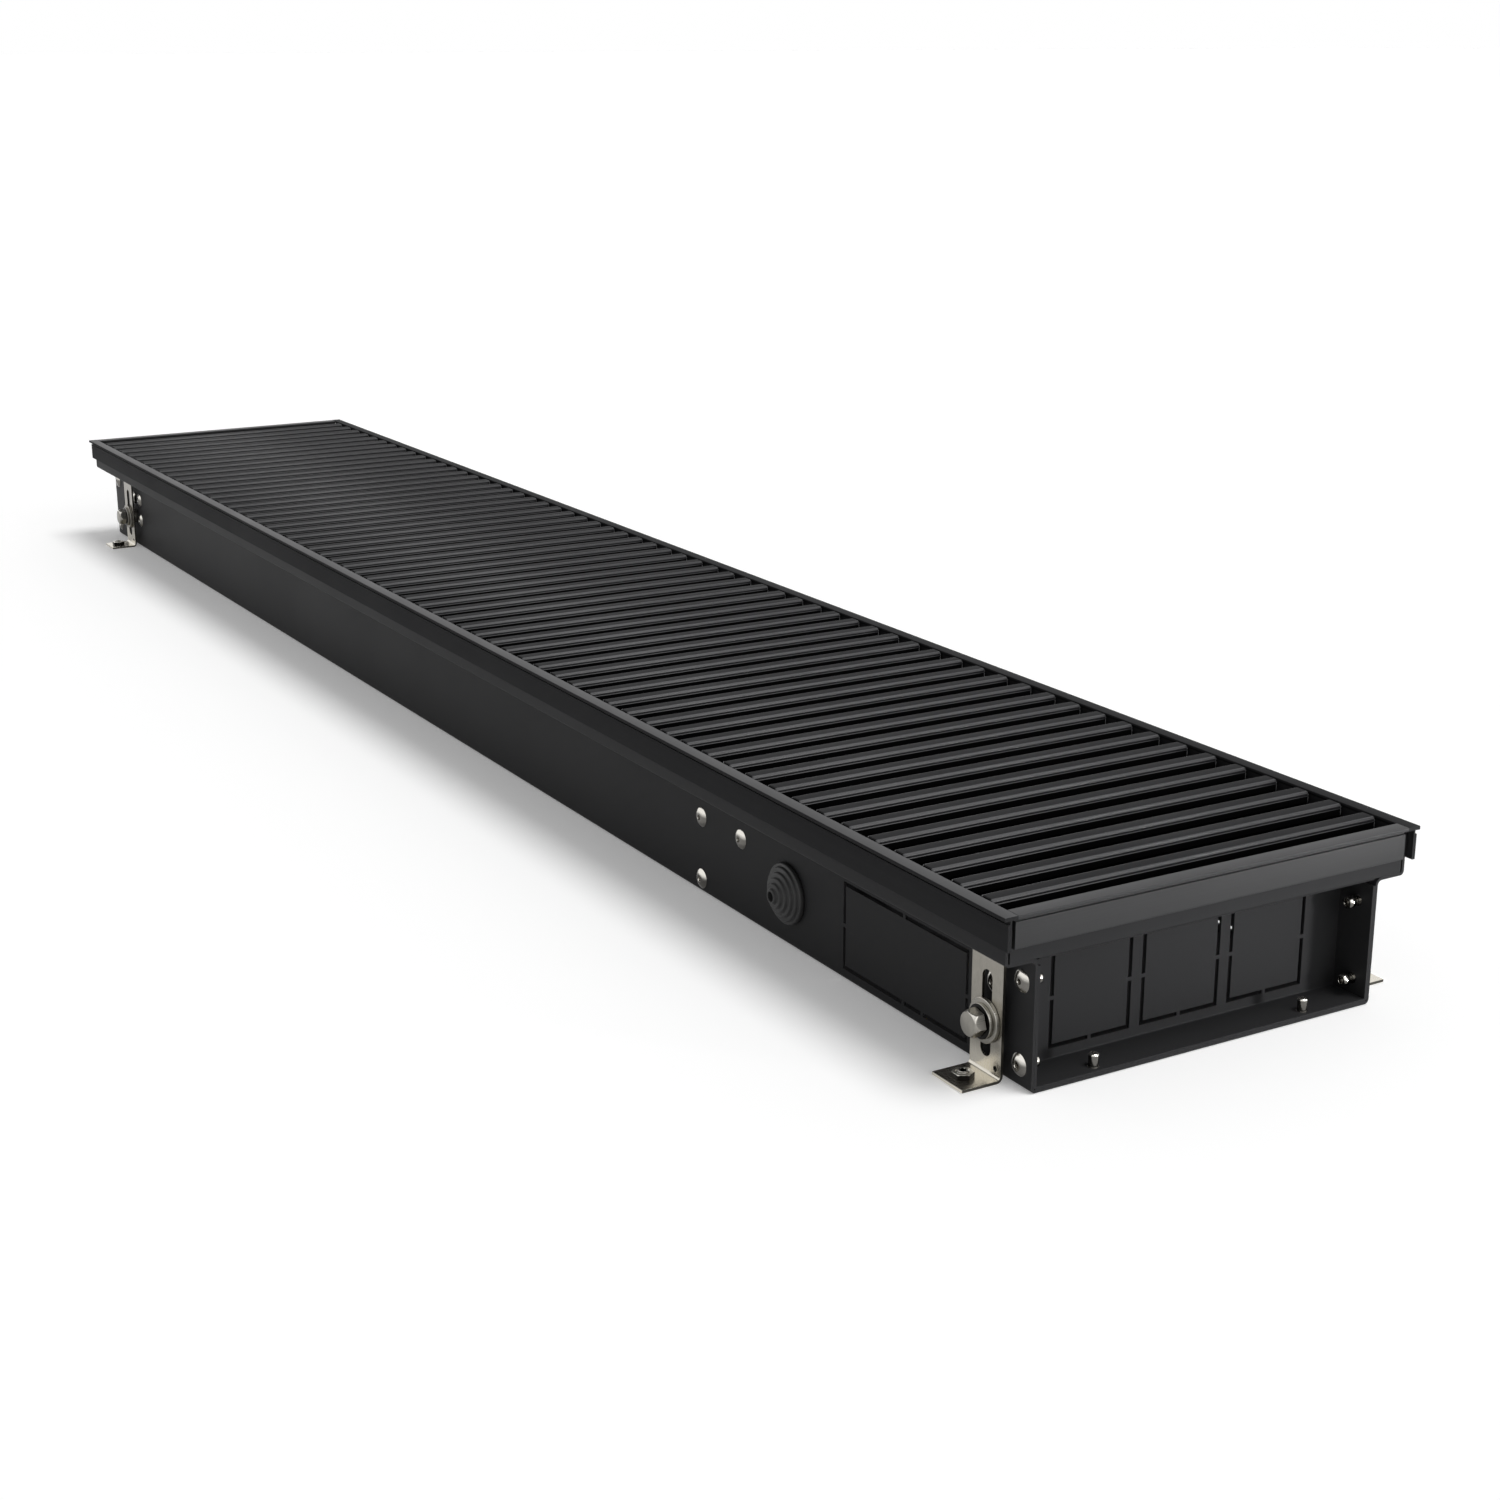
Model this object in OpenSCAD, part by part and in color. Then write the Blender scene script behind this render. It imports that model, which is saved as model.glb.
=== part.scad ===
// Floor trench convector with a roll-up grille, in millimetres.
// X runs along the casing, Y across it and Z up. The origin is under the
// middle of the casing floor. The water connections are near the +X end,
// and the cable grommet is in the front wall, which faces -Y.

/* [Casing] */
// Length of the folded casing
casing_length = 1200; // [1000:10:1500]
// Width over the outer faces of the side walls
wall_width = 172; // [160:1:200]
// Width of the outward shelf, from wall face to rim face
shelf_width = 14; // [13:0.5:18]
// Height of the underside of the shelf
shelf_height = 53.5; // [53:0.5:70]
// Thickness of the folded sheet
sheet = 1.2; // [1:0.1:1.5]
// Inner radius of the fold under the shelf
shelf_fold = 2; // [1:0.25:3]
// Inner radius of the other folds
sharp_fold = 0.6; // [0.4:0.1:1]

/* [End plates] */
// Distance from the casing end to the recessed plate
plate_recess = 18; // [17:0.5:22]
// Free edge between the end rim and the long rims
corner_gap = 0.8; // [0.4:0.1:1.5]

/* [Knock-outs] */
// Width of the cut line round a knock-out
cut_line = 1.8; // [1:0.1:2.5]
// Width of a bridge that holds a knock-out
bridge = 1.6; // [1:0.1:2.5]
// Distance of the side knock-outs' upper edge below the shelf
knock_drop = 9.8; // [7:0.1:20]
// Height of the lower edge of a side knock-out
knock_floor = 4.6; // [4:0.1:8]
// How much higher the end knock-outs sit
end_knock_rise = 2; // [0:0.1:3]
// Distance of the end knock-outs' upper edge below the shelf
end_knock_drop = 4.6; // [4.6:0.1:12]
// Width of an end knock-out
end_knock_width = 39.8; // [30:0.1:41]
// Spacing of the end knock-outs
end_knock_pitch = 44.8; // [43:0.1:48]
// Length of a side knock-out
side_knock_length = 89.9; // [60:0.1:90]
// Distance from the casing end to a side knock-out
side_knock_inset = 41.6; // [40:0.1:60]
// Distance between the two bridges under a side knock-out
side_bridge_pitch = 13.7; // [8:0.1:30]

/* [Edge frame] */
// How far the lip stands out past the rim
lip_reach = 3.5; // [2.5:0.1:5]
// Thickness of the lip
lip_thickness = 1.6; // [1.2:0.1:2.2]
// Thickness of the outer leg
outer_leg = 1.7; // [1.2:0.1:2.2]
// Depth of the outer leg below the top
outer_leg_depth = 14; // [10:0.5:16]
// Thickness of the inner leg
inner_leg = 1.3; // [1:0.1:2]
// Depth of the inner leg below the top
inner_leg_depth = 10; // [6:0.5:14]
// Extra width of the lip at the short ends
end_lip_extra = 0.9; // [0.3:0.1:2]
// Play between a leg and the rim
frame_play = 0.15; // [0.1:0.05:0.3]

/* [Grille] */
// Spacing of the bars
bar_pitch = 19.4; // [17.5:0.1:24]
// Width of a bar
bar_width = 7.6; // [6.5:0.1:9]
// Height of a bar
bar_height = 18.8; // [17:0.1:22]
// Width of the plain flat on top of a bar
bar_flat = 5.3; // [4:0.1:6]
// Height of the wide head of a bar
bar_head = 5; // [4:0.1:5.4]
// Height of the fluted part of the head
flute_height = 2.2; // [1.5:0.1:3]
// Thickness of the web of a bar
bar_web = 3.6; // [2.5:0.1:4.5]
// Height of the foot of a bar
bar_foot = 2.6; // [2:0.1:3]
// Gap between a bar end and the frame
bar_end_gap = 1.2; // [0.6:0.1:3]
// Bars in one hinged section
section_bars = 3; // [2:1:3]
// Thickness of the rubber rest strip
strip_thickness = 1.5; // [0.5:0.1:2]
// Width of the rubber rest strip
strip_width = 7.5; // [5:0.5:8]

/* [Grille springs] */
// Distance of each spring line from the middle
spring_offset = 60; // [45:1:70]
// Depth of the spring lines below the top
spring_depth = 10; // [9.8:0.1:10.5]
// Diameter of a spring
spring_diameter = 4.6; // [4:0.1:5]
// Outer diameter of a spacer sleeve
sleeve_diameter = 8; // [7:0.1:8.4]
// Play between a spring and a sleeve's bore
sleeve_play = 0.4; // [0.1:0.05:0.6]
// Length left free at a hinge between two half sleeves
sleeve_break = 3; // [2.6:0.1:4]
// Thickness of the cap at a spring's end
spring_cap = 1.6; // [1:0.1:2]
// Play round a spring's ball in its socket
ball_play = 0.3; // [0.3:0.05:0.5]

/* [Heat exchanger] */
// Outer diameter of a water tube
tube_diameter = 15; // [12:0.5:18]
// Wall thickness of a water tube
tube_wall = 0.8; // [0.6:0.1:1.2]
// Spacing of the two water tubes
tube_spacing = 55; // [45:1:65]
// Width of a fin
fin_width = 110; // [90:1:125]
// Distance of the fins' top below the shelf
fin_drop = 3.5; // [3:0.5:13]
// Thickness of a fin
fin_thickness = 0.4; // [0.3:0.1:0.8]
// Spacing of the fins
fin_pitch = 5; // [4:0.5:10]
// Gap between the fins and the casing floor
fin_lift = 4.8; // [3:0.1:6]
// Gap between the fin pack and each support
fin_gap = 6; // [4:0.5:12]

/* [Supports] */
// Distance from the right casing end to the console web
console_inset = 259; // [240:1:290]
// Length of the console's wall flanges
console_flange = 48; // [44:1:60]
// Distance from the left casing end to the far support web
support_inset = 75; // [72:1:90]
// Length of the far support's wall flanges
support_flange = 16.5; // [15:0.5:18]
// Thickness of the support sheet
support_sheet = 1.5; // [1:0.1:2]
// Distance of the supports' top below the shelf
support_drop = 3.5; // [3:0.5:9.5]

/* [Water connections] */
// Across flats of the brass socket
socket_flats = 27; // [24:0.5:30]
// Length of the brass socket
socket_length = 24; // [20:0.5:30]
// Wall radius of the G 1/2 thread
socket_bore = 9.5; // [9:0.05:10]
// Depth of the thread
socket_depth = 15; // [10:0.5:16]
// Gap between the console flange and the socket's back
socket_gap = 0; // [0:1:10]

/* [Air vent] */
// Distance from the console web to the vent
vent_inset = 24; // [16:1:34]
// Diameter of the vent body
vent_diameter = 12; // [11:0.5:14]
// Height of the vent body above the tube
vent_height = 10; // [8:0.5:11]
// Diameter of the bleed screw's thread
bleed_diameter = 5; // [4:0.5:6]
// Diameter of the bleed screw's head
bleed_head = 8; // [7:0.5:10]
// Height of the bleed screw's head
bleed_height = 3; // [2:0.5:4]

/* [Brackets] */
// Width of a bracket
bracket_width = 20; // [18:1:24]
// Thickness of a bracket
bracket_sheet = 1.2; // [1:0.1:3]
// Distance of a bracket's top below the shelf
bracket_drop = 5.5; // [5.5:0.5:9]
// Length of the foot, from the bracket's inner face
foot_length = 18.8; // [17:0.1:26]
// Distance of the bracket's inner face from the wall
bracket_standoff = 3.2; // [1.9:0.1:4]
// Width of the vertical slot
slot_width = 6.5; // [6.4:0.1:7]
// Height of the slot's lower end
slot_low = 7.6; // [6:0.1:9]
// Distance of the slot's upper end below the bracket's top
slot_drop = 5; // [5:0.5:9]
// Inner radius of the bend between the bracket and its foot
bracket_fold = 1.4; // [0.6:0.1:2]
// Diameter of the small hole beside the bend
relief_hole = 2.4; // [1.5:0.1:3]
// Height of the small hole's middle above the foot
relief_rise = 3.5; // [3:0.1:5]
// Gap between the right rivet nuts and the end plate
bracket_plate_gap = 0.2; // [0.2:0.1:2]
// Distance from the left casing end to the bracket axis
bracket_inset_left = 48; // [44:0.5:48]

/* [Bracket bolts] */
// Nominal diameter of the bolts
bolt_diameter = 6; // [5:0.1:6.2]
// Length of a bolt under its head
bolt_length = 20; // [18:1:25]
// Distance of the bolt axis below the upper wall rivets
bolt_drop = 14; // [11:0.5:17]
// Across flats of the bolt head
head_flats = 10; // [9:0.5:11]
// Thickness of the bolt head
head_height = 5; // [4:0.1:6]
// Outer diameter of the flat washer
washer_diameter = 18; // [12:0.5:18]
// Thickness of the flat and spring washers
washer_thickness = 1.8; // [1:0.1:2]
// Outer diameter of the spring washer
spring_washer_diameter = 14.2; // [10:0.1:15]
// Diameter of the rivet nut's body
nut_body = 8.4; // [8:0.1:9.2]
// Length of the rivet nut's body behind the wall face
nut_length = 13; // [10:0.5:15]
// Diameter of the rivet nut's flange
nut_flange = 11; // [10:0.5:12]
// Thickness of the wall doubler
doubler = 1.5; // [1:0.1:2]
// Lower end of the wall doubler
doubler_low = 12; // [8:1:14]
// Distance of the wall doubler's upper end below the shelf
doubler_drop = 9.5; // [7:0.5:12]
// Reach of the doubler from the bolt axis towards the middle
doubler_reach = 9; // [7:0.5:9]
// Shift of the doubler's rivet from the bolt axis towards the middle
doubler_rivet_shift = 1.5; // [0:0.1:2]

/* [Levelling screws] */
// Nominal diameter of the levelling screws
level_diameter = 5; // [4:0.1:6]
// Distance of a levelling screw from the bracket's inner face
level_reach = 11.5; // [11:0.1:13]
// Length of a levelling screw
level_length = 4.2; // [3.5:0.1:12]
// Across flats of the screw's hexagon socket
level_key = 2.5; // [2:0.1:2.5]
// Depth of the screw's hexagon socket
level_key_depth = 1.8; // [1.5:0.1:3]
// Across flats of the thin lock nut
lock_flats = 8; // [7.5:0.5:10]
// Height of the thin lock nut
lock_height = 2.4; // [2:0.1:4]

/* [Rivets] */
// Diameter of a rivet's shank
rivet_diameter = 4.8; // [4:0.1:5]
// Diameter of a rivet's dome
rivet_head = 9.4; // [8:0.1:10]
// Height of a rivet's dome
rivet_dome = 1.5; // [1:0.1:1.7]
// Diameter of the swollen tail
rivet_tail = 5.4; // [5.2:0.1:6.6]
// Length of the tail behind the sheets
rivet_tail_length = 6; // [5:0.5:9]
// Diameter of the hole that the broken mandrel leaves
mandrel_hole = 2; // [1.5:0.1:2.4]
// Distance of the upper wall rivets below the shelf
rivet_drop = 17; // [15:0.5:20]
// Distance of the far support's lower rivets below its upper ones
far_rivet_pitch = 15.5; // [12:0.5:20]
// Distance of the upper end-plate rivets below the shelf
end_rivet_drop = 10.5; // [9:0.5:15]
// Height of the lowest rivets in the walls
rivet_low = 6.5; // [6:0.5:9]
// Height of the lower end-plate rivets
end_rivet_low = 9; // [7:0.5:12]
// Distance from the casing end to the end-plate wall rivets
end_rivet_inset = 8; // [6:0.5:9]
// Distance from the casing end to the floor rivets
floor_rivet_inset = 4.2; // [4.2:0.1:8]
// Distance of the floor rivets from the middle
floor_rivet_offset = 53.3; // [40:0.1:60]
// Diameter of a floor rivet's tail
floor_rivet_tail = 4.2; // [3.8:0.1:5]
// Length of a floor rivet's tail
floor_rivet_tail_length = 5.5; // [5:0.1:8]

/* [Grommet] */
// Distance from the right casing end to the grommet axis
grommet_inset = 176; // [165:1:190]
// Height of the grommet axis
grommet_height = 24; // [20:0.5:30]
// Diameter of the grommet's flange
grommet_flange = 28; // [26:0.5:32]
// Thickness of the grommet's flanges
grommet_lip = 2.4; // [1.6:0.1:3]
// Diameter of the grommet's hole in the wall
grommet_hole = 22; // [20:0.5:24]
// Number of steps on the grommet's nose
grommet_steps = 5; // [3:1:6]
// Length of one step
grommet_step = 1.35; // [1.2:0.05:2.6]
// Diameter of the bore at the grommet's tip
grommet_bore = 4.4; // [3:0.1:5]
// Wall thickness of the grommet's nose
grommet_wall = 1.4; // [1:0.1:1.6]

/* [Earth point] */
// Distance from the right casing end to the earth stud
earth_inset = 150; // [145:1:155]
// Distance of the earth stud from the side wall
earth_wall_gap = 7; // [6:0.5:8]
// Diameter of the earth stud
earth_diameter = 5; // [4:0.5:6]
// Height of the earth stud
earth_height = 14; // [12:0.5:20]
// Across flats of the earth nut
earth_flats = 8; // [7:0.5:9]
// Thickness of the earth nut
earth_nut_height = 4; // [3:0.1:5]
// Diameter of the earth washer
earth_washer_diameter = 10; // [8:0.5:12]

/* [Hidden] */

// Facets of a full circle, and of one quarter-turn fold
$fn = 48;
fold_steps = 4;
// Contact gap between pieces that touch, and overrun of every cut
seat = 0.05;
overrun = 1;

// Places along the length and across the width
end_x = casing_length / 2;
wall_y = wall_width / 2;
wall_inner_y = wall_y - sheet;
rim_y = wall_y + shelf_width;
rim_inner_y = rim_y - sheet;
plate_x = end_x - plate_recess;

// Heights
shelf_top = shelf_height + sheet;
knock_height = shelf_height - knock_drop - knock_floor;
end_knock_floor = knock_floor + end_knock_rise;
end_knock_height = shelf_height - end_knock_drop - end_knock_floor;
rivet_high = shelf_height - rivet_drop;
end_rivet_high = shelf_height - end_rivet_drop;
strip_top = shelf_top + strip_thickness;
bar_low = strip_top + seat;
top_z = bar_low + bar_height;
lip_low = top_z - lip_thickness;
rim_top = lip_low - seat;

// Faces of the edge frame, measured from the middle across and along
lip_y = rim_y + lip_reach;
outer_leg_y = rim_y + frame_play;
inner_leg_y = rim_inner_y - frame_play - inner_leg;
lip_x = end_x + lip_reach;
outer_leg_x = end_x + frame_play;
inner_leg_x = end_x - sheet - frame_play - inner_leg;
end_lip_x = inner_leg_x - end_lip_extra;
end_rim_y = rim_inner_y - corner_gap;

// Bars and hinges of the grille, with one node for each hinged section
roll_count = 5;
bar_count = floor(2 * inner_leg_x / bar_pitch);
bar_length = 2 * (inner_leg_y - bar_end_gap);
roll_bars = roll_count * section_bars;
first_roll_bar = bar_count - roll_bars;
spring_z = top_z - spring_depth;
spring_r = spring_diameter / 2;
function bar_x(i) = (i - (bar_count - 1) / 2) * bar_pitch;
function section_first(s) = first_roll_bar + (s - 1) * section_bars;
function hinge_x(s) = bar_x(section_first(s)) - bar_pitch / 2;

// Shape of half of a bar's fluted shoulder: across from the flat to the edge, down from the top
flute_shares = [[0, 0], [0.12, 0.2], [0.32, 0.17], [0.42, 0.06], [0.62, 0.12], [0.74, 0.34],
                [0.9, 0.36], [1, 0.5], [1, 0.72], [0.8, 0.86], [1, 1]];
// Slope of the web's roots, as a share of the web's depth below the head
root_share = 0.12;
// Outline of a rivet's dome from its edge: across as a share of its radius, out as one of its height
dome_shares = [[1, 0], [0.9, 0.35], [0.72, 0.7], [0.45, 0.95]];
// Outline of a rivet's tail from the sheets: across as a share of its radius, in as one of its length
tail_shares = [[0.62, 0.15], [1, 0.5], [1, 0.85], [0.7, 1]];
// Depth of the mandrel's hole, as a share of the dome's or the tail's length
mandrel_share = 0.3;

// Heat exchanger
tube_r = tube_diameter / 2;
fin_low = sheet + fin_lift;
fin_height = shelf_height - fin_drop - fin_low;
tube_z = fin_low + fin_height / 2;
console_x = end_x - console_inset;
support_x = -end_x + support_inset;
tube_left = support_x - 2 * support_sheet;
socket_x = console_x + console_flange + socket_gap;
socket_tail = socket_length - socket_depth - sheet;
tube_right = socket_x + socket_tail - seat;
fin_left = support_x + support_sheet + fin_gap;
fin_span = console_x - fin_gap - fin_left;
fin_count = floor(fin_span / fin_pitch);

// Brackets and bolts
bracket_height = shelf_height - bracket_drop;
slot_high = bracket_height - slot_drop;
bolt_height = rivet_high - bolt_drop;
doubler_high = shelf_height - doubler_drop;
bracket_inner_y = wall_y + bracket_standoff;
bracket_outer_y = bracket_inner_y + bracket_sheet;
bracket_right_x = plate_x - sheet - bracket_plate_gap - nut_body / 2;
bracket_left_x = -end_x + bracket_inset_left;
bolt_r = bolt_diameter / 2;
washer_y = bracket_outer_y + seat;
spring_washer_y = washer_y + washer_thickness + seat;
head_y = spring_washer_y + washer_thickness + seat;
foot_tip_y = bracket_inner_y + foot_length;
level_y = bracket_inner_y + level_reach;
level_r = level_diameter / 2;

// Holes that take rivets have this radius, and so have the tubes' holes with the tube's radius
rivet_hole_r = rivet_diameter / 2 + seat;

// Rivets of the supports: [x, z] on both walls
console_rivet_edge = 6;
far_rivet_edge = 4.5;
far_rivet_low = rivet_high - far_rivet_pitch;
console_rivets = [
    [console_x + console_rivet_edge, rivet_high], [console_x + console_rivet_edge, rivet_low],
    [console_x + console_flange - console_rivet_edge, rivet_high]
];
far_rivet_x = support_x - support_flange + far_rivet_edge;
far_rivets = [[far_rivet_x, rivet_high], [far_rivet_x, far_rivet_low]];
doubler_rivets = [
    [bracket_right_x - doubler_rivet_shift, rivet_high],
    [bracket_left_x + doubler_rivet_shift, rivet_high]
];

// Air vent on the front tube
vent_x = console_x + vent_inset;
vent_top = tube_z + tube_r + vent_height;

// Earth point and grommet
earth_seat_z = 2 * sheet + 2 * seat;
earth_x = end_x - earth_inset;
earth_y = wall_inner_y - earth_wall_gap;
grommet_x = end_x - grommet_inset;

// Colours of the finishes
powder_black = "#29292b";
anodised_black = "#323234";
zinc_steel = "#a6a39b";
brass = "#b08d4a";
rubber_black = "#161616";
coated_copper = "#1d1d1e";

// Points of one side of a folded strip, offset to the left of its path by gap
function along(a, b) = (b - a) / norm(b - a);
function left_of(v) = [-v[1], v[0]];
function turn_of(u, v) = sign(u[0] * v[1] - u[1] * v[0]);
function fold_points(p, u, v, radius, gap) =
    let (r = radius - turn_of(u, v) * gap, c = p - u * radius + v * radius)
    [for (k = [0 : fold_steps]) let (a = 90 * k / fold_steps) c + r * (u * sin(a) - v * cos(a))];
function strip_side(path, radii, gap) =
    let (last = len(path) - 1)
    [for (i = [0 : last]) each
        i == 0 ? [path[0] + left_of(along(path[0], path[1])) * gap] :
        i == last ? [path[last] + left_of(along(path[last - 1], path[last])) * gap] :
        fold_points(path[i], along(path[i - 1], path[i]), along(path[i], path[i + 1]), radii[i], gap)];
function backwards(points) = [for (i = [len(points) - 1 : -1 : 0]) points[i]];
// Outline of a sheet of the given thickness that is folded along a path of its middle line
function folded_sheet(path, radii, thickness) =
    concat(strip_side(path, radii, thickness / 2), backwards(strip_side(path, radii, -thickness / 2)));

// Extrudes a YZ outline along X, or an XZ outline along Y
module along_x(length) { rotate([90, 0, 90]) linear_extrude(length, center = true) children(); }
module along_y(length) { rotate([90, 0, 0]) linear_extrude(length, center = true) children(); }
// A cylinder whose axis points along +X, +Y or -Y from the origin
module rod_x(r, length) { rotate([0, 90, 0]) cylinder(r = r, h = length); }
module rod_y(r, length) { rotate([-90, 0, 0]) cylinder(r = r, h = length); }
// A box from one corner to the opposite one
module box(low, high) { translate(low) cube(high - low); }
// A copy on the front wall and one on the rear wall
module on_both_sides() { children(); mirror([0, 1, 0]) children(); }
// A copy at each end of the casing
module at_both_ends() { children(); mirror([1, 0, 0]) children(); }
// Hexagonal prism whose flats are at the given distance
module hexagon(flats, height) { cylinder(d = flats / cos(30), h = height, $fn = 6); }

// The cut lines round one knock-out in the XZ plane, broken by bridges at the given places
module cut_frame(width, height, depth, low_bridges) {
    edges = concat([-width / 2 - bridge], low_bridges, [width / 2 + bridge]);
    for (s = [-1, 1]) {
        translate([s * (width - cut_line) / 2, 0, height / 4 + bridge / 4])
            cube([cut_line, depth, height / 2 - bridge / 2], center = true);
        translate([s * (width - cut_line) / 2, 0, -height / 4 - bridge / 4])
            cube([cut_line, depth, height / 2 - bridge / 2], center = true);
        translate([s * (width / 4 + bridge / 4), 0, (height - cut_line) / 2])
            cube([width / 2 - bridge / 2, depth, cut_line], center = true);
    }
    for (i = [0 : len(edges) - 2])
        box([edges[i] + bridge / 2 + (i == 0 ? bridge / 2 : 0), -depth / 2, -height / 2],
            [edges[i + 1] - bridge / 2 - (i == len(edges) - 2 ? bridge / 2 : 0), depth / 2,
             -height / 2 + cut_line]);
}

module side_knock_out() {
    translate([end_x - side_knock_inset - side_knock_length / 2, -wall_y,
               knock_floor + knock_height / 2])
        cut_frame(side_knock_length, knock_height, 2 * (sheet + overrun), [0, side_bridge_pitch]);
}

// A rivet hole through the front wall region, at a place in the XZ plane
module wall_holes(places, radius) {
    for (p = places) translate([p[0], -wall_y - overrun, p[1]]) rod_y(radius, shelf_width);
}

end_rivets = [
    [end_x - end_rivet_inset, end_rivet_high], [end_x - end_rivet_inset, end_rivet_low],
    [-end_x + end_rivet_inset, end_rivet_high], [-end_x + end_rivet_inset, end_rivet_low]
];

module casing() {
    t = sheet / 2;
    wide = shelf_fold + t;
    tight = sharp_fold + t;
    half = [[wall_y - t, t], [wall_y - t, shelf_height + t], [rim_y - t, shelf_height + t],
            [rim_y - t, rim_top]];
    path = concat([for (p = backwards(half)) [-p[0], p[1]]], half);
    radii = [0, tight, wide, tight, tight, wide, tight, 0];
    color(powder_black) difference() {
        along_x(casing_length) polygon(folded_sheet(path, radii, sheet));
        on_both_sides() {
            side_knock_out();
            wall_holes(concat(end_rivets, console_rivets, far_rivets, doubler_rivets), rivet_hole_r);
            wall_holes([for (x = [bracket_right_x, bracket_left_x]) [x, bolt_height]], nut_body / 2 + seat);
        }
        wall_holes([[grommet_x, grommet_height]], grommet_hole / 2);
        at_both_ends() on_both_sides()
            translate([end_x - floor_rivet_inset, floor_rivet_offset, 0]) {
                translate([0, 0, -overrun]) cylinder(r = rivet_hole_r, h = sheet + 2 * overrun);
                translate([0, 0, -seat])
                    cylinder(r1 = rivet_hole_r + sheet + seat, r2 = rivet_hole_r, h = sheet + seat);
            }
    }
}

// The right end plate: floor flange, recessed plate, shelf and rim folded from one strip,
// with a flange along each wall. All of it stays clear of the casing's floor folds
module end_plate() {
    t = sheet / 2;
    floor_z = sheet + seat;
    wide = shelf_fold + t;
    tight = sharp_fold + t;
    strip_y = wall_inner_y - sharp_fold;
    flange_y = wall_inner_y - seat;
    path = [[end_x, floor_z + t], [plate_x - t, floor_z + t], [plate_x - t, shelf_height + t],
            [end_x - t, shelf_height + t], [end_x - t, rim_top]];
    color(powder_black) difference() {
        union() {
            along_y(2 * strip_y) polygon(folded_sheet(path, [0, tight, wide, tight, 0], sheet));
            on_both_sides() {
                box([plate_x - sheet, flange_y - sheet, floor_z + sharp_fold],
                    [end_x, flange_y, shelf_height - shelf_fold]);
                box([end_x - sheet, strip_y - sheet, shelf_top + seat], [end_x, end_rim_y, rim_top]);
            }
        }
        for (i = [-1, 0, 1])
            translate([plate_x - t, i * end_knock_pitch, end_knock_floor + end_knock_height / 2])
                rotate([0, 0, 90]) cut_frame(end_knock_width, end_knock_height, 2 * (sheet + overrun), [0]);
        on_both_sides() {
            wall_holes([end_rivets[0], end_rivets[1]], rivet_hole_r);
            translate([end_x - floor_rivet_inset, floor_rivet_offset, 0])
                cylinder(r = rivet_hole_r, h = sheet * 2 + overrun);
        }
    }
}

module end_plate_right() { end_plate(); }
module end_plate_left() { mirror([1, 0, 0]) end_plate(); }

// One long profile: lip on top, a leg outside the rim and a shorter one inside it
module frame_rear() {
    color(anodised_black) {
        box([-lip_x, inner_leg_y, lip_low], [lip_x, lip_y, top_z]);
        box([-lip_x, outer_leg_y, top_z - outer_leg_depth],
            [lip_x, outer_leg_y + outer_leg, top_z - lip_thickness / 2]);
        box([-end_lip_x, inner_leg_y, top_z - inner_leg_depth],
            [end_lip_x, inner_leg_y + inner_leg, top_z - lip_thickness / 2]);
    }
}
module frame_front() { mirror([0, 1, 0]) frame_rear(); }

// One short profile, fitted between the long ones
module frame_right() {
    inner_y = inner_leg_y - seat;
    color(anodised_black) {
        box([end_lip_x, -inner_y, lip_low], [lip_x, inner_y, top_z]);
        box([outer_leg_x, -end_rim_y, top_z - outer_leg_depth],
            [outer_leg_x + outer_leg, end_rim_y, lip_low - seat]);
        box([outer_leg_x, -inner_y, lip_low - 2 * seat],
            [outer_leg_x + outer_leg, inner_y, top_z - lip_thickness / 2]);
        box([inner_leg_x, -inner_y, top_z - inner_leg_depth],
            [inner_leg_x + inner_leg, inner_y, top_z - lip_thickness / 2]);
    }
}
module frame_left() { mirror([1, 0, 0]) frame_right(); }

module rest_strips() {
    outer = inner_leg_y - bar_end_gap / 2;
    color(rubber_black) on_both_sides()
        box([-end_lip_x, outer - strip_width, shelf_top + seat], [end_lip_x, outer, strip_top]);
}

// Cross section of a bar: flat with fluted shoulders, web and foot
function bar_half() =
    let (w = bar_width / 2, f = bar_flat / 2, web = bar_web / 2,
         root = (bar_height - bar_head - bar_foot) * root_share)
    concat(
        [for (p = flute_shares) [f + p[0] * (w - f), -p[1] * flute_height]],
        [[w, -bar_head], [web, -bar_head - root], [web, -bar_height + bar_foot + root],
         [w, -bar_height + bar_foot], [w, -bar_height]]);

module bars(first, last) {
    half = bar_half();
    outline = concat(half, [for (p = backwards(half)) [-p[0], p[1]]]);
    color(anodised_black) for (i = [first : last]) difference() {
        translate([bar_x(i), 0, top_z]) along_y(bar_length) polygon(outline);
        for (s = [-1, 1]) translate([bar_x(i) - bar_width, s * spring_offset, spring_z])
            rod_x(spring_r + seat, 2 * bar_width);
    }
}

// A spacer sleeve between two places along the grille, on both spring lines
module sleeve(from_x, to_x) {
    for (s = [-1, 1]) translate([from_x, s * spring_offset, spring_z]) difference() {
        rod_x(sleeve_diameter / 2, to_x - from_x);
        translate([-overrun, 0, 0]) rod_x(spring_r + sleeve_play, to_x - from_x + 2 * overrun);
    }
}

// Sleeves of the bars from first to last, with a half sleeve at each hinged side
module sleeves(first, last, hinge_before, hinge_after) {
    side = bar_web / 2 + seat;
    color(rubber_black) {
        for (i = [first : last - 1]) sleeve(bar_x(i) + side, bar_x(i + 1) - side);
        if (hinge_before) sleeve(bar_x(first) - (bar_pitch - sleeve_break) / 2, bar_x(first) - side);
        if (hinge_after) sleeve(bar_x(last) + side, bar_x(last) + (bar_pitch - sleeve_break) / 2);
    }
}

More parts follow.
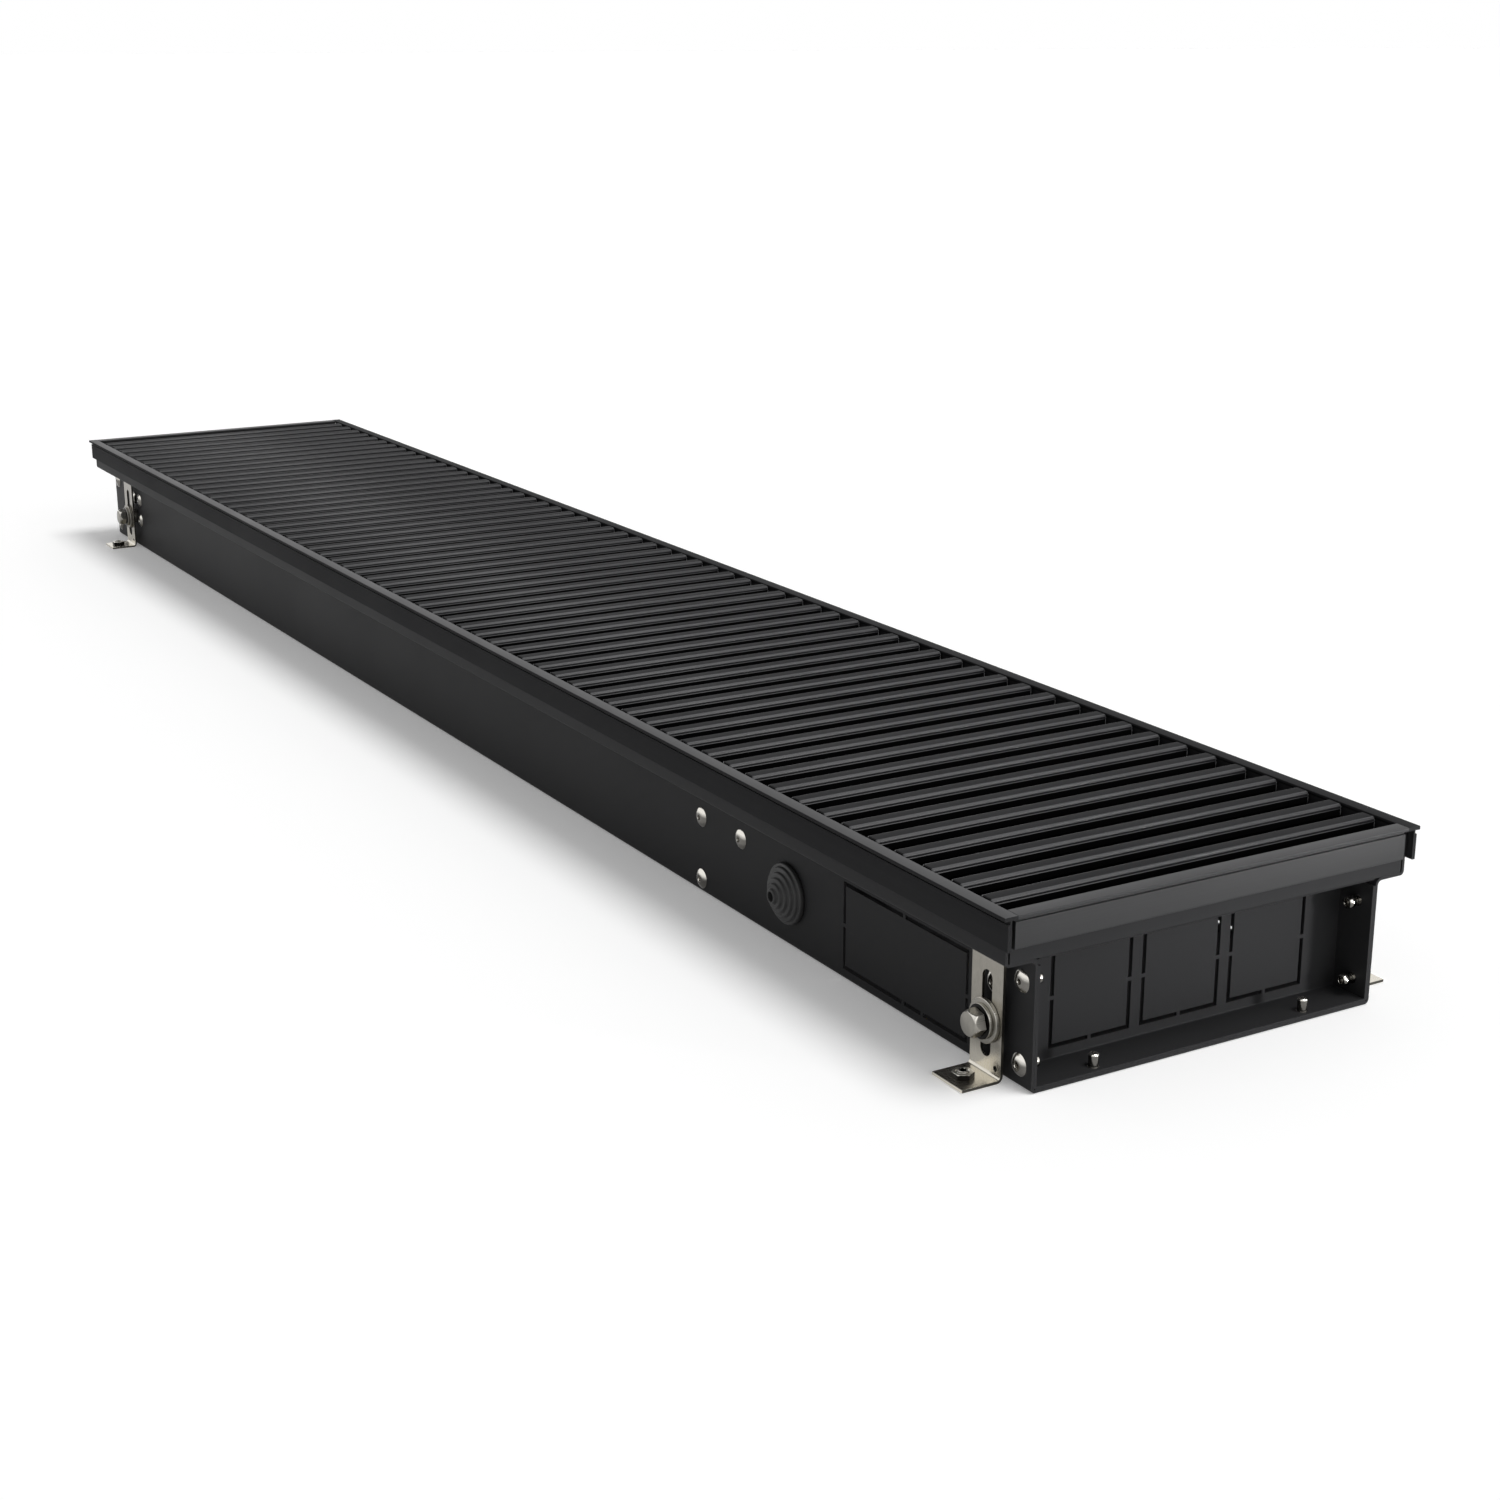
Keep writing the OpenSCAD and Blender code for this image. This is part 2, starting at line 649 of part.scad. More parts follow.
// Closed-wound springs as plain rods: a socket at a hinge before, a ball at a hinge after, or a cap
module springs(first, last, hinge_before, hinge_after) {
    half = bar_pitch / 2;
    cap_r = sleeve_diameter / 2;
    cap_x = bar_web / 2 + seat;
    from_x = hinge_before ? bar_x(first) - half : bar_x(first) - cap_x - spring_cap;
    to_x = hinge_after ? bar_x(last) + half : bar_x(last) + cap_x + spring_cap;
    color(zinc_steel) for (s = [-1, 1]) translate([0, s * spring_offset, spring_z]) difference() {
        union() {
            translate([from_x, 0, 0]) rod_x(spring_r, to_x - from_x);
            if (hinge_after) translate([to_x, 0, 0]) sphere(r = spring_r);
            if (!hinge_before) translate([from_x, 0, 0]) rod_x(cap_r, spring_cap);
            if (!hinge_after) translate([to_x - spring_cap, 0, 0]) rod_x(cap_r, spring_cap);
        }
        if (hinge_before) translate([from_x, 0, 0]) sphere(r = spring_r + ball_play);
    }
}

// L-shaped bracket on the front wall, centred on the YZ plane
module bracket(x) {
    t = bracket_sheet / 2;
    path = [[-bracket_inner_y - t, bracket_height], [-bracket_inner_y - t, t], [-foot_tip_y, t]];
    color(zinc_steel) translate([x, 0, 0]) difference() {
        along_x(bracket_width) polygon(folded_sheet(path, [0, bracket_fold + t, 0], bracket_sheet));
        translate([0, -bracket_outer_y - overrun, slot_low + slot_width / 2])
            rod_y(slot_width / 2, bracket_sheet + 2 * overrun);
        translate([0, -bracket_outer_y - overrun, slot_high - slot_width / 2])
            rod_y(slot_width / 2, bracket_sheet + 2 * overrun);
        box([-slot_width / 2, -bracket_outer_y - overrun, slot_low + slot_width / 2],
            [slot_width / 2, -bracket_inner_y + overrun, slot_high - slot_width / 2]);
        translate([slot_width, -bracket_outer_y - overrun, bracket_sheet + relief_rise])
            rod_y(relief_hole / 2, bracket_sheet + 2 * overrun);
        translate([0, -level_y, -overrun]) cylinder(r = level_r, h = bracket_sheet + 2 * overrun);
    }
}
module bracket_front_right() { bracket(bracket_right_x); }
module bracket_front_left() { bracket(bracket_left_x); }
module bracket_rear_right() { mirror([0, 1, 0]) bracket(bracket_right_x); }
module bracket_rear_left() { mirror([0, 1, 0]) bracket(bracket_left_x); }

module level_screw(x) {
    color(zinc_steel) translate([x, -level_y, 0]) difference() {
        cylinder(r = level_r - seat, h = level_length);
        translate([0, 0, level_length - level_key_depth]) hexagon(level_key, level_key_depth + overrun);
    }
}
module level_screw_front_right() { level_screw(bracket_right_x); }
module level_screw_front_left() { level_screw(bracket_left_x); }
module level_screw_rear_right() { mirror([0, 1, 0]) level_screw(bracket_right_x); }
module level_screw_rear_left() { mirror([0, 1, 0]) level_screw(bracket_left_x); }

module lock_nut(x) {
    color(zinc_steel) translate([x, -level_y, bracket_sheet + seat]) difference() {
        hexagon(lock_flats, lock_height);
        translate([0, 0, -overrun]) cylinder(r = level_r, h = lock_height + 2 * overrun);
    }
}
module lock_nut_front_right() { lock_nut(bracket_right_x); }
module lock_nut_front_left() { lock_nut(bracket_left_x); }
module lock_nut_rear_right() { mirror([0, 1, 0]) lock_nut(bracket_right_x); }
module lock_nut_rear_left() { mirror([0, 1, 0]) lock_nut(bracket_left_x); }

// Places one copy at each of the four bolts, its Z axis pointing out of the wall at distance y
module at_bolts(y) {
    on_both_sides() for (x = [bracket_right_x, bracket_left_x])
        translate([x, -y, bolt_height]) rotate([90, 0, 0]) children();
}

// Hexagon head with a chamfered face, and the shank behind it
module bracket_bolts() {
    corner = head_flats / 2 / cos(30);
    color(zinc_steel) at_bolts(head_y) {
        intersection() {
            hexagon(head_flats, head_height);
            union() {
                cylinder(r = corner, h = head_height / 2);
                translate([0, 0, head_height / 2])
                    cylinder(r1 = corner, r2 = head_flats / 2 - 2 * seat, h = head_height / 2);
            }
        }
        translate([0, 0, -bolt_length]) cylinder(r = bolt_r - seat, h = bolt_length + overrun);
    }
}

module bracket_spring_washers() {
    color(zinc_steel) at_bolts(spring_washer_y) difference() {
        cylinder(d = spring_washer_diameter, h = washer_thickness);
        translate([0, 0, -overrun]) cylinder(r = bolt_r + seat, h = washer_thickness + 2 * overrun);
    }
}

module bracket_flat_washers() {
    color(zinc_steel) at_bolts(washer_y) difference() {
        cylinder(d = washer_diameter, h = washer_thickness);
        translate([0, 0, -overrun]) cylinder(r = bolt_r + 2 * seat, h = washer_thickness + 2 * overrun);
    }
}

module bracket_rivet_nuts() {
    color(zinc_steel) at_bolts(wall_y) difference() {
        union() {
            translate([0, 0, seat]) cylinder(d = nut_flange, h = bracket_standoff - 2 * seat);
            translate([0, 0, -nut_length]) cylinder(d = nut_body, h = nut_length + 2 * seat);
        }
        translate([0, 0, -nut_length - overrun])
            cylinder(r = bolt_r, h = nut_length + bracket_standoff + 2 * overrun);
    }
}

// Plate that stiffens the front wall behind a bracket, with the bolt axis at x = 0
module doubler_plate() {
    back = wall_inner_y - seat;
    difference() {
        box([-doubler_reach, -back, doubler_low], [nut_body / 2, -back + doubler, doubler_high]);
        wall_holes([[0, bolt_height]], nut_body / 2 + seat);
        wall_holes([[-doubler_rivet_shift, rivet_high]], rivet_hole_r);
    }
}
module wall_doublers() {
    color(powder_black) on_both_sides() {
        translate([bracket_right_x, 0, 0]) doubler_plate();
        translate([bracket_left_x, 0, 0]) mirror([1, 0, 0]) doubler_plate();
    }
}

// Blind rivet along Z: its dome is below the origin, and the sheets it grips are above it
module blind_rivet(grip) {
    r = rivet_diameter / 2;
    hole = mandrel_hole / 2;
    dome_rise = rivet_dome - seat;
    dome_pit = -rivet_dome * (1 - mandrel_share);
    tip = grip + rivet_tail_length;
    tip_pit = tip - rivet_tail_length * mandrel_share;
    rotate_extrude() polygon(concat(
        [[0, dome_pit], [hole, dome_pit], [hole, -rivet_dome]],
        [for (p = backwards(dome_shares)) [p[0] * rivet_head / 2, -seat - p[1] * dome_rise]],
        [[r, -seat], [r, grip]],
        [for (p = tail_shares) [p[0] * rivet_tail / 2, grip + p[1] * rivet_tail_length]],
        [[hole, tip], [hole, tip_pit], [0, tip_pit]]
    ));
}

// Blind rivets through the front and rear walls at places in the XZ plane
module rivets_in_walls(places, grip) {
    color(zinc_steel) on_both_sides() for (p = places)
        translate([p[0], -wall_y, p[1]]) rotate([-90, 0, 0]) blind_rivet(grip);
}

module wall_rivets() {
    rivets_in_walls(concat(console_rivets, far_rivets), sheet + support_sheet + 2 * seat);
    rivets_in_walls(doubler_rivets, sheet + doubler + 2 * seat);
}
module end_plate_rivets() { rivets_in_walls(end_rivets, 2 * sheet + 2 * seat); }

// Flush rivets through the casing floor and the end plates' floor flanges
module floor_rivets() {
    r = rivet_diameter / 2;
    grip = 2 * sheet + 2 * seat;
    tail = floor_rivet_tail / 2;
    tip = grip + floor_rivet_tail_length;
    color(zinc_steel) at_both_ends() on_both_sides()
        translate([end_x - floor_rivet_inset, floor_rivet_offset, 0])
            rotate_extrude() polygon([
                [0, 0], [r + sheet - seat, 0], [r, sheet - seat], [r, grip], [tail, grip],
                [tail, tip - r / 3], [tail - r / 3, tip], [0, tip]
            ]);
}

// Stepped rubber cone with a groove that snaps into the wall, bored for the smallest cable
module cable_grommet() {
    flange = grommet_flange / 2;
    neck = grommet_hole / 2 - seat;
    tip = grommet_bore / 2 + grommet_wall;
    fall = (neck + grommet_wall - tip) / (grommet_steps - 1);
    inner_lip = -sheet - seat - grommet_lip;
    color(rubber_black) translate([grommet_x, -wall_y, grommet_height]) rotate([90, 0, 0]) difference() {
        union() {
            translate([0, 0, seat]) cylinder(r = flange, h = grommet_lip);
            translate([0, 0, -sheet - 2 * seat]) cylinder(r = neck, h = sheet + 4 * seat);
            translate([0, 0, inner_lip]) cylinder(r = flange - grommet_wall, h = grommet_lip);
            for (k = [0 : grommet_steps - 1])
                translate([0, 0, grommet_lip + k * grommet_step])
                    cylinder(r1 = tip + (grommet_steps - 1 - k) * fall,
                             r2 = tip + (grommet_steps - 1 - k) * fall - fall / 4,
                             h = grommet_step + seat);
        }
        for (k = [0 : grommet_steps - 2])
            translate([0, 0, grommet_lip + (k - 1) * grommet_step])
                cylinder(r = tip + (grommet_steps - 1 - k) * fall - 2 * grommet_wall,
                         h = grommet_step + seat);
        translate([0, 0, -sheet - grommet_lip - overrun])
            cylinder(r = neck - grommet_wall, h = sheet + grommet_lip + overrun + grommet_step / 2);
        cylinder(r = grommet_bore / 2, h = grommet_lip + grommet_steps * grommet_step + overrun);
    }
}

// Holes for both water tubes, along X from the origin's plane
module tube_holes(r, length) {
    for (s = [-1, 1]) translate([0, s * tube_spacing / 2, tube_z]) rod_x(r, length);
}

module exchanger_tubes() {
    color(coated_copper) translate([tube_left, 0, 0]) difference() {
        tube_holes(tube_r, tube_right - tube_left);
        translate([-overrun, 0, 0]) tube_holes(tube_r - tube_wall, tube_right - tube_left + 2 * overrun);
    }
}

module exchanger_return_bend() {
    color(coated_copper) translate([tube_left - seat, 0, tube_z]) difference() {
        rotate_extrude() translate([tube_spacing / 2, 0]) circle(r = tube_r);
        rotate_extrude() translate([tube_spacing / 2, 0]) circle(r = tube_r - tube_wall);
        box([0, -tube_spacing, -tube_diameter], [tube_spacing, tube_spacing, tube_diameter]);
    }
}

module exchanger_fins() {
    color(coated_copper) for (i = [0 : fin_count - 1])
        translate([fin_left + i * fin_pitch, 0, 0]) difference() {
            box([0, -fin_width / 2, fin_low], [fin_thickness, fin_width / 2, fin_low + fin_height]);
            translate([-overrun, 0, 0]) tube_holes(tube_r + seat, fin_thickness + 2 * overrun);
        }
}

// A folded cross plate with a flange along each side wall, its web from x = 0 to the sheet's thickness
module cross_support(flange, places) {
    inner_y = wall_inner_y - seat;
    low = sheet + sharp_fold + seat;
    high = shelf_height - support_drop;
    color(powder_black) difference() {
        union() {
            box([0, -inner_y, low], [support_sheet, inner_y, high]);
            on_both_sides()
                box([0, -inner_y, low], [flange, -inner_y + support_sheet, high - support_sheet]);
        }
        translate([-overrun, 0, 0]) tube_holes(tube_r + seat, support_sheet + 2 * overrun);
        on_both_sides() wall_holes(places, rivet_hole_r);
    }
}
module exchanger_console() {
    translate([console_x, 0, 0])
        cross_support(console_flange, [for (p = console_rivets) [p[0] - console_x, p[1]]]);
}
module exchanger_far_support() {
    translate([support_x, 0, 0]) mirror([1, 0, 0])
        cross_support(support_flange, [for (p = far_rivets) [support_x - p[0], p[1]]]);
}

// Brass sockets on the tube ends, threaded for the pipes
module water_sockets() {
    color(brass) for (s = [-1, 1]) translate([socket_x, s * tube_spacing / 2, tube_z]) difference() {
        union() {
            rotate([0, 90, 0]) hexagon(socket_flats, socket_length / 2);
            rod_x(socket_flats / 2, socket_length);
        }
        translate([socket_length - socket_depth, 0, 0]) rod_x(socket_bore, socket_depth + overrun);
        translate([-overrun, 0, 0]) rod_x(tube_r + seat, socket_tail + overrun);
        rod_x(tube_r - tube_wall, socket_length);
    }
}

module vent_body() {
    color(brass) translate([vent_x, -tube_spacing / 2, 0]) difference() {
        translate([0, 0, tube_z]) cylinder(d = vent_diameter, h = vent_top - tube_z);
        translate([-vent_diameter, 0, tube_z]) rod_x(tube_r + seat, 2 * vent_diameter);
        translate([0, 0, tube_z]) cylinder(r = bleed_diameter / 2 + seat, h = vent_top - tube_z + overrun);
    }
}

module vent_screw() {
    shank_low = tube_z + tube_r + 2 * seat;
    color(brass) translate([vent_x, -tube_spacing / 2, 0]) difference() {
        union() {
            translate([0, 0, shank_low]) cylinder(d = bleed_diameter, h = vent_top - shank_low + 2 * seat);
            translate([0, 0, vent_top + seat]) cylinder(d = bleed_head, h = bleed_height);
        }
        translate([0, 0, vent_top + bleed_height])
            cube([bleed_head + overrun, bleed_height / 3, bleed_height], center = true);
    }
}

module earth_stud() {
    color(zinc_steel) translate([earth_x, earth_y, sheet + seat]) {
        cylinder(r = earth_diameter / 2 - seat, h = earth_height);
        cylinder(r = earth_flats / 2, h = sheet);
    }
}
module earth_washer() {
    color(zinc_steel) translate([earth_x, earth_y, earth_seat_z]) difference() {
        cylinder(d = earth_washer_diameter, h = sheet);
        translate([0, 0, -overrun]) cylinder(r = earth_diameter / 2, h = sheet + 2 * overrun);
    }
}
module earth_nut() {
    color(zinc_steel) translate([earth_x, earth_y, earth_seat_z + sheet + seat]) difference() {
        hexagon(earth_flats, earth_nut_height);
        translate([0, 0, -overrun]) cylinder(r = earth_diameter / 2, h = earth_nut_height + 2 * overrun);
    }
}

// The bars, sleeves and springs of one hinged section
module section_bars_node(s) { bars(section_first(s), section_first(s) + section_bars - 1); }
module section_sleeves(s) {
    sleeves(section_first(s), section_first(s) + section_bars - 1, true, s < roll_count);
}
module section_springs(s) {
    springs(section_first(s), section_first(s) + section_bars - 1, true, s < roll_count);
}

casing();
end_plate_right();
end_plate_left();
frame_front();
frame_rear();
frame_right();
frame_left();
rest_strips();
bars(0, first_roll_bar - 1);  // grille_bars_main
section_bars_node(1);  // grille_bars_roll_1
section_bars_node(2);  // grille_bars_roll_2
section_bars_node(3);  // grille_bars_roll_3
section_bars_node(4);  // grille_bars_roll_4
section_bars_node(5);  // grille_bars_roll_5
sleeves(0, first_roll_bar - 1, false, true);  // grille_sleeves_main
section_sleeves(1);  // grille_sleeves_roll_1
section_sleeves(2);  // grille_sleeves_roll_2
section_sleeves(3);  // grille_sleeves_roll_3
section_sleeves(4);  // grille_sleeves_roll_4
section_sleeves(5);  // grille_sleeves_roll_5
springs(0, first_roll_bar - 1, false, true);  // grille_springs_main
section_springs(1);  // grille_springs_roll_1
section_springs(2);  // grille_springs_roll_2
section_springs(3);  // grille_springs_roll_3
section_springs(4);  // grille_springs_roll_4
section_springs(5);  // grille_springs_roll_5
bracket_front_right();
bracket_front_left();
bracket_rear_right();
bracket_rear_left();
level_screw_front_right();
level_screw_front_left();
level_screw_rear_right();
level_screw_rear_left();
lock_nut_front_right();
lock_nut_front_left();
lock_nut_rear_right();
lock_nut_rear_left();
bracket_bolts();
bracket_spring_washers();
bracket_flat_washers();
bracket_rivet_nuts();
wall_doublers();
wall_rivets();
end_plate_rivets();
floor_rivets();
cable_grommet();
exchanger_tubes();
exchanger_return_bend();
exchanger_fins();
exchanger_console();
exchanger_far_support();
water_sockets();
vent_body();
vent_screw();
earth_stud();
earth_washer();
earth_nut();
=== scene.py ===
import math

import bmesh
import bpy
import numpy as np
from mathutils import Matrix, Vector


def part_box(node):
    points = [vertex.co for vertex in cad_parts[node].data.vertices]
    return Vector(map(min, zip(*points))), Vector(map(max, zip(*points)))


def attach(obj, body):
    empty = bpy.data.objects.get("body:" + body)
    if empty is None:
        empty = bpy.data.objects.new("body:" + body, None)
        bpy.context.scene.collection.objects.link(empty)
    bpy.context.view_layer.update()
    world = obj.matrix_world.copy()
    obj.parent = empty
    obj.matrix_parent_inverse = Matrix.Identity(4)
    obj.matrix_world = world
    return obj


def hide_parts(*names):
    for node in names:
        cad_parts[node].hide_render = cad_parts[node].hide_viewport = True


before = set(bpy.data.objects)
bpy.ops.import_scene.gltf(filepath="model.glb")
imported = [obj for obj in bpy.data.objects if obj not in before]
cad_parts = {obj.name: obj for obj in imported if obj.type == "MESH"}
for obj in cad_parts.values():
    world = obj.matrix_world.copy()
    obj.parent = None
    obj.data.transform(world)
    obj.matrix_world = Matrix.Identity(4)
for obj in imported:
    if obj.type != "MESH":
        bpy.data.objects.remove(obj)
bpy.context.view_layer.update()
mm = 0.001

# Studio: the heater stands on a white floor in front of a white surround. The camera stands off the
# end with the water connections, a little above the grille, and the light comes from behind on the right.
camera_place = Vector((1.2472, -0.5872, 0.3825))
camera_direction = Vector((-0.8255, 0.4833, -0.2914))
camera_lens = bpy.data.cameras.new("photo camera")
camera_lens.sensor_width = 36
camera_lens.lens = 56.73
camera_lens.clip_start = 0.01
camera = bpy.data.objects.new("photo camera", camera_lens)
camera.location = camera_place
camera.rotation_euler = camera_direction.to_track_quat("-Z", "Y").to_euler()
bpy.context.scene.collection.objects.link(camera)
bpy.context.scene.camera = camera
bpy.context.scene.view_settings.view_transform = "Standard"


def linear(colour):
    """An sRGB hex colour as linear RGBA: c/12.92 where c is small, else ((c + 0.055)/1.055)^2.4."""
    c = np.array([int(colour[i:i + 2], 16) for i in (1, 3, 5)]) / 255
    return (*np.where(c <= 0.04045, c / 12.92, ((c + 0.055) / 1.055) ** 2.4), 1)


def add(tree, kind, settings=None, sockets=None):
    """Adds one shader node: settings are its own properties, and sockets its inputs, by name or number,
    each a value or the output that feeds it."""
    made = tree.nodes.new(kind)
    for name, value in (settings or {}).items():
        setattr(made, name, value)
    for name, value in (sockets or {}).items():
        if isinstance(value, bpy.types.NodeSocket):
            tree.links.new(value, made.inputs[name])
        else:
            made.inputs[name].default_value = value
    return made


def new_material(name):
    """A material whose node tree is empty, and that tree."""
    material = bpy.data.materials.new(name)
    material.use_nodes = True
    material.node_tree.nodes.clear()
    return material, material.node_tree


def seen_directly(tree):
    """1 for rays from the camera, a reflection or a transmission, and 0 for light on the heater."""
    path = add(tree, "ShaderNodeLightPath").outputs
    mirrored = add(tree, "ShaderNodeMath", {"operation": "MAXIMUM"},
                   {0: path["Is Glossy Ray"], 1: path["Is Transmission Ray"]})
    return add(tree, "ShaderNodeMath", {"operation": "MAXIMUM"},
               {0: path["Is Camera Ray"], 1: mirrored.outputs[0]}).outputs[0]


surround = bpy.data.worlds.new("white surround")
surround.use_nodes = True
surround.node_tree.nodes.clear()
sky = surround.node_tree
ambient = add(sky, "ShaderNodeBackground", None, {"Color": linear("#ffffff"), "Strength": 0.35})
white = add(sky, "ShaderNodeBackground", None, {"Color": linear("#ffffff"), "Strength": 1.0})
either = add(sky, "ShaderNodeMixShader", None,
             {0: seen_directly(sky), 1: ambient.outputs[0], 2: white.outputs[0]})
add(sky, "ShaderNodeOutputWorld", None, {"Surface": either.outputs[0]})
bpy.context.scene.world = surround

floor_paint, paint = new_material("matt white floor")
matt = add(paint, "ShaderNodeBsdfDiffuse", None, {"Color": linear("#f3f3f3")})
lift = add(paint, "ShaderNodeEmission", None, {"Color": linear("#ffffff")})
lift_strength = add(paint, "ShaderNodeMath", {"operation": "MULTIPLY"}, {0: seen_directly(paint), 1: 0.2})
paint.links.new(lift_strength.outputs[0], lift.inputs["Strength"])
lit = add(paint, "ShaderNodeAddShader", None, {0: matt.outputs[0], 1: lift.outputs[0]})
add(paint, "ShaderNodeOutputMaterial", None, {"Surface": lit.outputs[0]})
floor_reach = 40.0
floor_drop = 0.3 * mm
floor_mesh = bpy.data.meshes.new("floor")
corners = [(x, y, -floor_drop) for x, y in ((-1, -1), (1, -1), (1, 1), (-1, 1))]
floor_mesh.from_pydata([(x * floor_reach, y * floor_reach, z) for x, y, z in corners], [], [(0, 1, 2, 3)])
floor = bpy.data.objects.new("floor", floor_mesh)
floor_mesh.materials.append(floor_paint)
bpy.context.scene.collection.objects.link(floor)


def bank(name, direction, strength, spread):
    """A far bank of lamps: even light along direction, from a disc that looks spread degrees wide."""
    light = bpy.data.lights.new(name, "SUN")
    light.energy = strength
    light.angle = math.radians(spread)
    holder = bpy.data.objects.new(name, light)
    holder.rotation_euler = Vector(direction).to_track_quat("-Z", "Y").to_euler()
    bpy.context.scene.collection.objects.link(holder)


bank("overhead bank", (-0.3, -0.25, -1.0), 1.65, 26)
bank("end bank", (-1.0, -0.12, -0.45), 0.6, 40)
# A soft lamp stands low, off the end and to its right, and its light fades towards the front corner.
lamp_place = Vector((1.75, 1.15, 0.06))
lamp_target = Vector((0.6, 0.2, 0.045))
side_lamp = bpy.data.lights.new("side lamp", "SPOT")
side_lamp.energy = 520.0
side_lamp.spot_size = math.radians(12)
side_lamp.spot_blend = 1.0
side_lamp.shadow_soft_size = 0.25
side_holder = bpy.data.objects.new("side lamp", side_lamp)
side_holder.location = lamp_place
side_holder.rotation_euler = (lamp_target - lamp_place).to_track_quat("-Z", "Y").to_euler()
bpy.context.scene.collection.objects.link(side_holder)

# Casing: one trough folded from 1.2 mm galvanised sheet, with an end plate riveted in at each end, two
# cross supports for the exchanger and stiffening plates behind the brackets, all in satin black powder coat.
# A powder coat flows out in a faint orange peel, a millimetre or so from crest to crest.
powder_coat, coat = new_material("satin black powder coat")
coat_place = add(coat, "ShaderNodeTexCoord").outputs["Object"]
peel_size = 1.3 * mm
grain_size = 0.35 * mm
peel = add(coat, "ShaderNodeTexNoise", None,
           {"Vector": coat_place, "Scale": 1 / peel_size, "Detail": 1.5, "Roughness": 0.5})
grain = add(coat, "ShaderNodeTexNoise", None,
            {"Vector": coat_place, "Scale": 1 / grain_size, "Detail": 2.0, "Roughness": 0.6})
cloud = add(coat, "ShaderNodeTexNoise", None,
            {"Vector": coat_place, "Scale": 9.0, "Detail": 3.0, "Roughness": 0.55})
coat_tone = add(coat, "ShaderNodeMix", {"data_type": "RGBA"},
                {0: cloud.outputs[0], 6: linear("#272728"), 7: linear("#2e2e2f")})
coat_gloss = add(coat, "ShaderNodeMapRange", None,
                 {0: cloud.outputs[0], 1: 0.3, 2: 0.7, 3: 0.43, 4: 0.5})
peel_bump = add(coat, "ShaderNodeBump", None,
                {"Strength": 0.22, "Distance": 0.05 * mm, "Height": peel.outputs[0]})
grain_bump = add(coat, "ShaderNodeBump", None,
                 {"Strength": 0.1, "Distance": 0.02 * mm, "Height": grain.outputs[0],
                  "Normal": peel_bump.outputs[0]})
coat_shader = add(coat, "ShaderNodeBsdfPrincipled", None,
                  {"Base Color": coat_tone.outputs[2], "Roughness": coat_gloss.outputs[0], "IOR": 1.14,
                   "Normal": grain_bump.outputs[0]})
add(coat, "ShaderNodeOutputMaterial", None, {"Surface": coat_shader.outputs[0]})


def finish_node(name, material):
    """Gives a CAD node its finish, on every slot that it has."""
    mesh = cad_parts[name].data
    if not mesh.materials:
        mesh.materials.append(material)
    for i in range(len(mesh.materials)):
        mesh.materials[i] = material


for name in ("casing", "end_plate_right", "end_plate_left", "exchanger_console", "exchanger_far_support",
             "wall_doublers"):
    finish_node(name, powder_coat)


# Edge frame: four lengths of black anodised aluminium F-profile pushed over the upright rims. The long
# ones run through and show their sawn ends; the short ones fit between them. Each has a flat lip on top,
# a long leg outside the rim and a short leg inside it, with a groove under the lip outside.
def drawn_aluminium(name, along, tone, bright, gloss_low, gloss_high, index):
    """Black anodised aluminium with the faint lines of the extrusion die along one axis."""
    material, tree = new_material(name)
    place = add(tree, "ShaderNodeTexCoord").outputs["Object"]
    line_spacing = 0.25 * mm
    stretch = [1 / line_spacing] * 3
    stretch["XYZ".index(along)] = 4.0
    drawn = add(tree, "ShaderNodeMapping", None, {"Vector": place, "Scale": stretch})
    lines = add(tree, "ShaderNodeTexNoise", None,
                {"Vector": drawn.outputs[0], "Scale": 1.0, "Detail": 2.0, "Roughness": 0.6})
    bloom = add(tree, "ShaderNodeTexNoise", None, {"Vector": place, "Scale": 14.0, "Detail": 2.0})
    shade = add(tree, "ShaderNodeMix", {"data_type": "RGBA"},
                {0: lines.outputs[0], 6: linear(tone), 7: linear(bright)})
    gloss = add(tree, "ShaderNodeMapRange", None,
                {0: bloom.outputs[0], 1: 0.3, 2: 0.7, 3: gloss_low, 4: gloss_high})
    bump = add(tree, "ShaderNodeBump", None,
               {"Strength": 0.15, "Distance": 0.02 * mm, "Height": lines.outputs[0]})
    shader = add(tree, "ShaderNodeBsdfPrincipled", None,
                 {"Base Color": shade.outputs[2], "Roughness": gloss.outputs[0], "IOR": index,
                  "Normal": bump.outputs[0]})
    add(tree, "ShaderNodeOutputMaterial", None, {"Surface": shader.outputs[0]})
    return material


def eased(corners, radius, steps=5):
    """A closed outline whose corners P are rounded: P + r(1-t)^2 a + r t^2 b for t from 0 to 1, where a and b
    are unit vectors to the corners before and after, and r is one radius or one for each corner."""
    corners = np.asarray(corners, float)
    back = np.roll(corners, 1, 0) - corners
    ahead = np.roll(corners, -1, 0) - corners
    back /= np.linalg.norm(back, axis=1)[:, None]
    ahead /= np.linalg.norm(ahead, axis=1)[:, None]
    t = np.linspace(0, 1, steps)[:, None]
    r = np.broadcast_to(radius, len(corners))[:, None, None]
    return (corners[:, None] + r * ((1 - t) ** 2 * back[:, None] + t ** 2 * ahead[:, None])).reshape(-1, 2)


